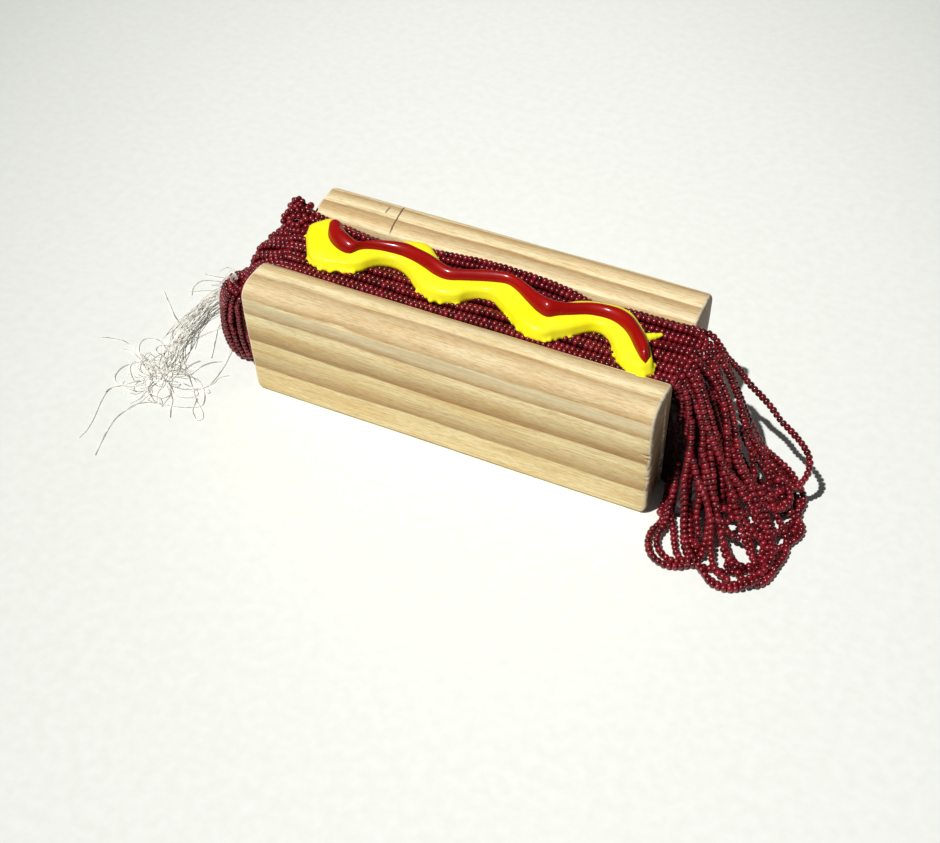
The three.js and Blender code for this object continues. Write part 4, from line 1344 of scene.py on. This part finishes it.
@dataclass
class Threads:
    """The loose ends of the cotton strings: a bundle, the tangle that it ends in, and strays."""

    finish: Material
    radius: float = 0.125
    # The bundle's course: a place along it and its half width there.
    bundle: tuple[tuple[float, float, float, float], ...] = (
        (-80.6, 3.6, 22, 1.2), (-84, 6.6, 18.4, 1.4), (-90, 9.6, 12.6, 1.8), (-97, 11.4, 8.6, 2.1),
        (-104, 11.4, 6.6, 2.4), (-110.5, 9.6, 5.6, 2.7), (-114.6, 5.2, 5.2, 2.9), (-117, -2, 5.2, 3),
        (-117.8, -11, 5.4, 3), (-117.4, -19, 5.2, 3.1), (-116.4, -26.5, 4.8, 3.3),
        (-114.8, -33.5, 4.0, 3.8), (-113.6, -39, 3.2, 4.6), (-113, -44, 2.6, 5.4))

    def thread_tree(self) -> NodeTree:
        """Sweeps a round thread along curves."""
        tree, given = geometry_tree("cotton_thread", {
            "Radius": "NodeSocketFloat", "Sides": "NodeSocketInt", "Finish": "NodeSocketMaterial"})
        curve = add(tree, "GeometryNodeMeshToCurve", {"Mesh": given.outputs["Geometry"]})
        round_wire = add(tree, "GeometryNodeCurvePrimitiveCircle", {
            "Resolution": given.outputs["Sides"], "Radius": given.outputs["Radius"]}, mode="RADIUS")
        swept = add(tree, "GeometryNodeCurveToMesh", {
            "Curve": curve, "Profile Curve": round_wire, "Fill Caps": True})
        smooth = add(tree, "GeometryNodeSetShadeSmooth", {"Geometry": swept, "Shade Smooth": True})
        end_tree(tree, smooth, given.outputs["Finish"])
        return tree

    def sweep(self, name: str, paths: Strings, radius: float,
              tree: NodeTree) -> Object:
        """Makes threads along paths."""
        return grown(name, wires(name, paths), tree, {
            "Radius": radius * MM, "Sides": 5, "Finish": self.finish})

    def bundle_threads(self) -> Strings:
        """Threads that run loosely side by side, crossing over one another, down to the table."""
        draw = random.Random(51)
        flat = 0.7  # the bundle's height to its width
        threads = []
        for _ in range(24):
            angle = draw.uniform(0, 6.28)
            out = math.sqrt(draw.random())
            twist = draw.uniform(-1.2, 1.2)
            first = draw.choice((0, 0, 0, 3, 4, 5))
            last = draw.choice((11, 12, 13, 14))
            guides = []
            for index, (x, y, z, half) in enumerate(self.bundle[:last]):
                turn = angle + twist * index / 3
                aside = half * out * math.cos(turn) + draw.gauss(0, 1.1)
                up = half * flat * out * math.sin(turn) + draw.gauss(0, 0.7)
                if index >= first:
                    guides.append((x + aside, y + 0.2 * aside, max(0.3, z + up)))
            threads.append(smooth_path(guides, 1.2))
        return threads

    def tangle_threads(self) -> Strings:
        """Threads that curl round one another where the bundle meets the table."""
        draw = random.Random(57)
        left, right, front, back = -124, -104, -55, -32
        threads = []
        for _ in range(30):
            x, y = draw.gauss(-114, 2.8), draw.gauss(-43, 4.0)
            heading = draw.uniform(0, 6.28)
            bend = draw.uniform(-0.6, 0.6)
            z = draw.uniform(0.4, 4.0)
            guides = []
            for _ in range(draw.randint(5, 10)):
                guides.append((max(left, min(right, x)), max(front, min(back, y)), max(0.25, z)))
                heading += bend + draw.gauss(0, 0.22)
                stride = draw.uniform(1.6, 2.6)
                x += stride * math.cos(heading)
                y += stride * math.sin(heading)
                z += draw.gauss(-0.2, 0.6)
            threads.append(smooth_path(guides, 0.8))
        return threads

    def stray_threads(self) -> dict[str, Strings]:
        """Single threads that reach out from the tangle, by the node that they stand for."""
        lines = {
            "string_left": [
                [(-112, -41, 3), (-116, -40, 2.4), (-121, -37.6, 1.4), (-125, -35, 0.8), (-130, -32.8, 0.5),
                 (-134, -31.4), (-137.5, -30.5), (-142, -31), (-146.4, -32.4)],
                [(-114, -43, 3), (-118, -42.4, 1.6), (-123, -38.6, 0.5), (-127, -36), (-132, -34.2),
                 (-135.4, -34.5)]],
            "string_front": [
                [(-112, -52, 1.6), (-112.8, -57.4, 0.8), (-115, -63), (-115.7, -68.3), (-114.8, -74),
                 (-113.4, -80), (-111.7, -85.8)]],
            "string_outer": [
                [(-120.4, -50.9, 1.2), (-124.6, -52.6, 0.6), (-126.8, -56), (-125.6, -62.8),
                 (-123.2, -70.3), (-121.9, -76.8), (-122.2, -81)]],
            "string_tail": [
                # One crosses the bundle, and three lie behind the lump.
                [(-139.3, 0.8), (-132.4, -5.4), (-127, -10.4, 0.8), (-121, -15.6, 3), (-118, -19, 5)],
                [(-130, 17), (-123.5, 17.8), (-118, 19.4), (-110, 17, 3), (-103, 14, 7)],
                [(-128, 3.4), (-130, 8.4), (-128.7, 13), (-122, 15.4), (-116, 14.3, 2), (-108, 12, 5)],
                [(-129.7, 5), (-123.7, 8.7), (-119, 9.5, 1.6), (-112, 9.4, 4.6)],
                [(-124, 12), (-118, 13.4, 2.6), (-111, 14.6, 6), (-104, 14, 9), (-96, 12, 12)],
                [(-120, 8, 1), (-114, 12, 3.6), (-107, 14, 7.6), (-99, 12, 12), (-91, 9, 16)],
                # Open loops on the table to the left.
                [(-117, -35, 3), (-125, -35.6, 0.6), (-129.6, -31.5), (-130.7, -27.3), (-128.4, -24.7),
                 (-124, -25), (-120.2, -28, 1.6), (-117, -31, 4)],
                [(-117, -34, 4), (-122.2, -30.5, 0.6), (-123.4, -28), (-122, -26.5, 0.6), (-118, -26, 3)],
                [(-119, -36, 1), (-124, -37.4, 0.5), (-128.3, -41.8), (-129.4, -46), (-128, -50),
                 (-124.2, -52), (-120.4, -51), (-116, -48, 1.4)],
                [(-118, -46, 1), (-120.2, -48), (-126, -43), (-127, -39.6), (-126, -38.4), (-121, -39, 1)],
                [(-127, -57), (-126.4, -53.7), (-123.4, -51.5), (-121, -48.6), (-118.7, -46.8, 0.8),
                 (-115, -44, 2)],
                # The front.
                [(-115.3, -58.5), (-113.6, -54.5), (-113.8, -51, 0.8), (-113, -46, 2)],
                [(-112.8, -57.4), (-109, -55), (-103, -53.7), (-96.5, -52.2), (-91.2, -49.4),
                 (-90.8, -46.4), (-94.2, -41.3), (-99, -38, 1), (-106, -38, 2.4)],
                [(-97.8, -58.5), (-100.3, -54.2), (-102, -50.6), (-107, -46, 1.6)],
                # The right: long loops towards the board.
                [(-107, -36, 2), (-104.5, -36.3, 0.8), (-98.7, -41.9), (-93.8, -47), (-88.2, -51.6),
                 (-86.6, -54.4), (-88, -55.9), (-90.4, -54), (-92.6, -51.5), (-94, -46)],
                [(-114, -30, 5), (-111.3, -32.5, 1.6), (-104.4, -34.7), (-96.4, -38.6), (-92.5, -40.5),
                 (-91.5, -41.6), (-93.4, -41.8), (-101.6, -37.2), (-109.6, -31.7, 1.4), (-114, -28, 4)],
                [(-108, -40, 2), (-103.6, -36), (-102, -30.6), (-99.6, -27.2), (-96.5, -25)],
                [(-109, -38, 2), (-106.8, -34.3), (-105.8, -30.8), (-104, -28)],
                [(-90, -30.5), (-92.6, -33.2), (-93, -37), (-96, -41), (-101, -44, 0.8), (-107, -45, 2)],
                [(-108, -44, 2), (-103, -47.6, 0.6), (-98, -47.4), (-95, -44.6), (-97.4, -42),
                 (-103, -41.6, 1)],
                # Two hang from the bundle behind the lump to the table.
                [(-105, 2, 4), (-107.2, -8.7, 0.5), (-110, -13.2), (-112.6, -19, 1), (-114.6, -24, 3.4)],
                [(-107, -2, 2), (-108.2, -8), (-106.2, -13), (-103.3, -19.6), (-101, -25)],
                # One runs from the lump's foot out over the table.
                [(-96.7, -17.4, 1.4), (-95, -23, 0.5), (-94.2, -27), (-93.6, -34.3), (-94.4, -39.2),
                 (-98, -44)]],
        }
        return {node: [smooth_path(laid(line, 0.4), 0.9) for line in group]
                for node, group in lines.items()}

    def wisps(self) -> Strings:
        """Short hairs about the tie at the top of the lump."""
        draw = random.Random(61)
        hairs = []
        for _ in range(9):
            start = Vector((-92, -14, 34.4 + draw.uniform(-1, 1.4)))
            reach = draw.uniform(3, 8)
            heading = math.radians(draw.uniform(120, 215))
            rise = draw.uniform(-1, 3)
            middle = start + Vector((0.5 * reach * math.cos(heading), 0.5 * reach * math.sin(heading), rise))
            stop = start + Vector((reach * math.cos(heading + 0.3), reach * math.sin(heading + 0.3),
                                   rise - draw.uniform(1, 4)))
            hairs.append(smooth_path([start, middle, stop], 1.0))
        return hairs

    def tie(self) -> Strings:
        """The thread wound round the strings where the lump is tied off."""
        turns = []
        for share in steps(0, 1, 60):
            angle = 2 * math.pi * 3.2 * share
            turns.append(Vector((-91.4 + 0.9 * math.cos(angle) - 0.6 * share, -15.4 + 1.4 * math.sin(angle),
                                 35.2 + 0.9 * share + 0.8 * math.sin(angle))))
        return [turns]

    def build(self) -> None:
        """Builds the bundle with its tangle, and each stray."""
        tree = self.thread_tree()
        strays = self.stray_threads()
        loose = self.bundle_threads() + self.tangle_threads() + self.wisps() + strays.pop("string_tail")
        hand_over(self.sweep("cotton_strings", loose, self.radius, tree), "cotton", "string_tail")
        hand_over(self.sweep("cotton_tie", self.tie(), 0.16, tree), "cotton", "string_tail")
        for node, group in strays.items():
            hand_over(self.sweep(node.replace("string", "cotton"), group, self.radius, tree), "cotton", node)


# ---- Stage ----------------------------------------------------------------


@dataclass
class Studio:
    """The table, the light and the camera."""

    eye: Point = (159.3, -349.8, 373.4)
    yaw: float = math.radians(-25.017)
    pitch: float = math.radians(45.294)
    roll: float = math.radians(0.445)
    lens: float = 55.15
    light_from: Point = (-0.275, -0.44, 1.0)

    def camera(self) -> None:
        """Sets up the camera."""
        data = bpy.data.cameras.new("camera")
        data.lens = self.lens
        data.sensor_width = 36.0
        data.clip_start, data.clip_end = 0.01, 20.0
        camera = link("camera", data)
        level = math.cos(self.pitch)
        forward = Vector((math.sin(self.yaw) * level, math.cos(self.yaw) * level, -math.sin(self.pitch)))
        right = Vector((math.cos(self.yaw), -math.sin(self.yaw), 0))
        up = right.cross(forward)
        basis = Matrix((right, up, -forward)).transposed() @ Matrix.Rotation(-self.roll, 3, "Z")
        camera.matrix_world = Matrix.Translation(DATUM.place(self.eye)) @ basis.to_4x4()
        bpy.context.scene.camera = camera

    def light(self) -> None:
        """A lamp high on the left and an even white surround."""
        data = bpy.data.lights.new("key", "SUN")
        data.energy = 3.65
        data.angle = math.radians(1.2)
        data.color = (1.0, 1.0, 0.985)
        lamp = link("key", data)
        lamp.rotation_mode = "QUATERNION"
        lamp.rotation_quaternion = Vector(self.light_from).to_track_quat("Z", "Y")
        world = bpy.data.worlds.new("surround")
        world.use_nodes = True
        surround = world.node_tree.nodes["Background"]
        surround.inputs["Color"].default_value = linear("FFFFFF")
        surround.inputs["Strength"].default_value = 0.085
        bpy.context.scene.world = world
        bpy.context.scene.view_settings.view_transform = "Standard"

    def table(self) -> None:
        """A broad white table top."""
        reach = 1600.0
        corners = [(-reach, -reach, 0), (reach, -reach, 0), (reach, reach, 0), (-reach, reach, 0)]
        top = link("table_top", mesh_from("table_top", corners, [(0, 1, 2, 3)], smooth=False))
        top.data.materials.append(PaintedTable().build())


# ---- The whole ------------------------------------------------------------


class BoardPlace(Enum):
    """Which board is which."""

    NEAR = "near"
    FAR = "far"


def make_board(place: BoardPlace) -> Board:
    """Describes one board.

    Args:
        place: Which of the two boards.

    Returns:
        The board, not yet built.
    """
    if place is BoardPlace.NEAR:
        pine = Pine(name="pine_near", face=NEAR_FACE, outwards=-1, pith=(40, 90),
                    marks=((49.2, 4.5, 0.75), (55.6, 4.5, 0.85), (67.6, 9, 0.95), (81.0, 10, 0.8)),
                    shade_band=(40.5, 45.8))
        dents = (Dent(75.5, 31, 2.2, 0.45, 0.9), Dent(76, 29, 1.6, 0.4, 0.8), Dent(76.5, 20, 1.2, 0.5, 0.9),
                 Dent(75.8, 18, 2.4, 0.4, 0.8), Dent(76.8, 24, 1.0, 1.2, 0.9), Dent(76.8, 13, 1.0, 1.0, 0.7),
                 Dent(-38, 46.8, 3.6, 0.7, 0.5), Dent(62, 33, 1.2, 0.7, 0.35))
        return Board(name="board_near", node="bun_near", finish=pine.build(), length=153.4, width=18.4,
                     middle=0, face=NEAR_FACE, outwards=-1, shoulder=7, seed=3, worn=1.5, dents=dents)
    pine = Pine(name="pine_far", face=FAR_FACE, outwards=1, pith=(-30, 20),
                marks=((42.5, 4, 0.5), (48.8, 6.5, 0.9), (54.6, 4, 0.9), (61.0, 5, 0.8)),
                cracks=((-49.2, 0.0, 9.5, 14.2), (-43.0, -0.09, 1.0, 17.0)))
    return Board(name="board_far", node="bun_far", finish=pine.build(), length=149.4, width=19.6, middle=-0.3,
                 face=FAR_FACE, outwards=1, turn=FAR_TURN, taper=0.046, shoulder=4.5, seed=9)


def mustard_ribbon() -> Ribbon:
    """The mustard: it swings from side to side and leans on the far board at two of its turns."""
    return Ribbon(
        near=((-64, -8), (-60.4, -10.6), (-56, -11.3), (-51.4, -10.5), (-46.6, -9.4), (-42.8, -7),
              (-40.6, -3.8), (-38, -1.4), (-34.4, -0.4), (-30.4, -0.9), (-26.6, -2.9), (-23, -6),
              (-18.4, -9.2), (-13.8, -10.6), (-9.6, -10.4), (-4.8, -9), (-1.6, -5.8), (2.2, -4),
              (6.6, -3.9), (10.8, -6.4), (15.2, -9.4), (20.4, -13.2), (25.4, -14.9), (29.8, -14.5),
              (33.2, -11.7), (36.8, -8.8), (39.8, -5.8), (43, -3), (46.6, -2.7), (50.2, -5.4),
              (53.2, -9.6), (56.2, -13.5), (60, -15.8), (63.6, -16.6), (66.4, -16.9)),
        far=((-70.6, 2.8), (-71, 7.6), (-69, 11), (-65.8, 14), (-61.8, 12), (-55, 6.6), (-48.6, 4.6),
             (-42.6, 7.6), (-37, 11.2), (-33, 13.6), (-28, 14.2), (-24.4, 13.2), (-21.2, 10.4),
             (-16.6, 6.6), (-11.4, 4.2), (-6.8, 5), (-2.4, 6), (2, 6.8), (6.8, 7.2), (11.6, 6.6),
             (16, 5), (20.2, 2.4), (24.2, 1.4), (28.2, 2.2), (31.4, 5.6), (35, 8.6), (38.8, 10.8),
             (43.2, 11.6), (47.8, 11.3), (52.8, 9.8), (57, 6.4), (60.6, 2.4), (64.4, -3.6), (67.6, -9.8),
             (69, -14)),
        height=3.9, flatness=3.6)


def ketchup_ribbon() -> Ribbon:
    """The ketchup: it starts as a long drop, and swells again where it turns back."""
    return Ribbon(
        near=((-64.2, 10.2), (-62.6, 6), (-60.4, 1.8), (-57, -1.4), (-52.4, -3.8), (-48.4, -4),
              (-45.8, -0.8), (-42, 1), (-37.2, 2), (-31.8, 2.3), (-26.6, 1.3), (-20.8, -0.7),
              (-15.4, -2.9), (-10.6, -3.5), (-5.4, -1.8), (0.2, 0), (5.8, 1.5), (10, 2), (14.2, 0.2),
              (19.4, -3.3), (24.2, -6.1), (28.4, -7.1), (31.6, -5), (35.6, -2.7), (40.8, 0.2),
              (46.2, 1.2), (51, 0), (55.6, -3.2), (59.8, -8.2), (63.4, -12.4), (66, -14.7)),
        far=((-60.4, 11), (-57.6, 8.2), (-54.8, 5.2), (-51.6, 3), (-48.6, 1.7), (-46.6, 1.9), (-43.8, 3.4),
             (-40.8, 5.4), (-36.6, 7.1), (-31.6, 8.1), (-26.8, 7), (-21.4, 5.2), (-16.2, 3.4),
             (-11, 1.9), (-6, 3.1), (-0.6, 5), (4.8, 6.5), (9.6, 7), (14, 6.1), (18.8, 4), (23.6, 1.2),
             (27.4, -0.3), (31.2, 0.5), (35.2, 2.8), (40.8, 5.7), (46.4, 6.5), (51.2, 6.1), (55.6, 3.8),
             (60.2, -0.9), (64, -5.7), (66.4, -10)),
        height=3.0, flatness=1.6,
        swells=((0.1, 0.05, 0.45), (0.38, 0.04, 0.35), (0.69, 0.045, 0.5), (0.93, 0.05, 0.2)))


def main() -> None:
    """Builds every piece in order."""
    logging.basicConfig(level=logging.INFO, format="%(name)s %(message)s")
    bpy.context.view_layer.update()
    studio = Studio()
    studio.camera()
    for place in BoardPlace:
        make_board(place).build()
    stringer = BeadStringer(BeadGlass().build())
    core = PaintedShadeCore().build()
    hank = Hank(stringer, core)
    hank.build()
    Fold(stringer, hank, core).build()
    Spill(stringer, hank, core).build()
    stringer.put_away()
    mustard = mustard_ribbon()
    drops = ((65, 4.4, 1.0, 0.1), (64.2, 3.6, 1.2, 0.1), (63, 2.6, 1.6, 0.2), (61.8, 1.6, 1.8, 0.3),
             (66.6, -17.4, 1.3, 0.6), (65, -17.6, 1.2, 0.9), (68, -10.6, 1.0, 0.4), (68.4, -12.6, 0.9, 0.2))
    Sauce(name="mustard_pour", node="mustard", ribbon=mustard, slot="mustard_paint", bed=crest, seed=71,
          lobe=0.85, finish=PouredPaint("mustard_acrylic", "FFF51A", "FFF834", 0.45, 0.08).build(),
          drops=drops).build()
    Sauce(name="ketchup_pour", node="ketchup", ribbon=ketchup_ribbon(), slot="ketchup_paint", seed=73, lobe=0,
          bed=lambda x, y: crest(x, y) + mustard.height_at(x, y) - 0.1, voxel=0.36, depth=1.0,
          finish=PouredPaint("ketchup_acrylic", "920301", "A60A02", 0.5, 0.38).build()).build()
    Threads(Cotton().build()).build()
    studio.table()
    studio.light()


if __name__ == "__main__":
    main()
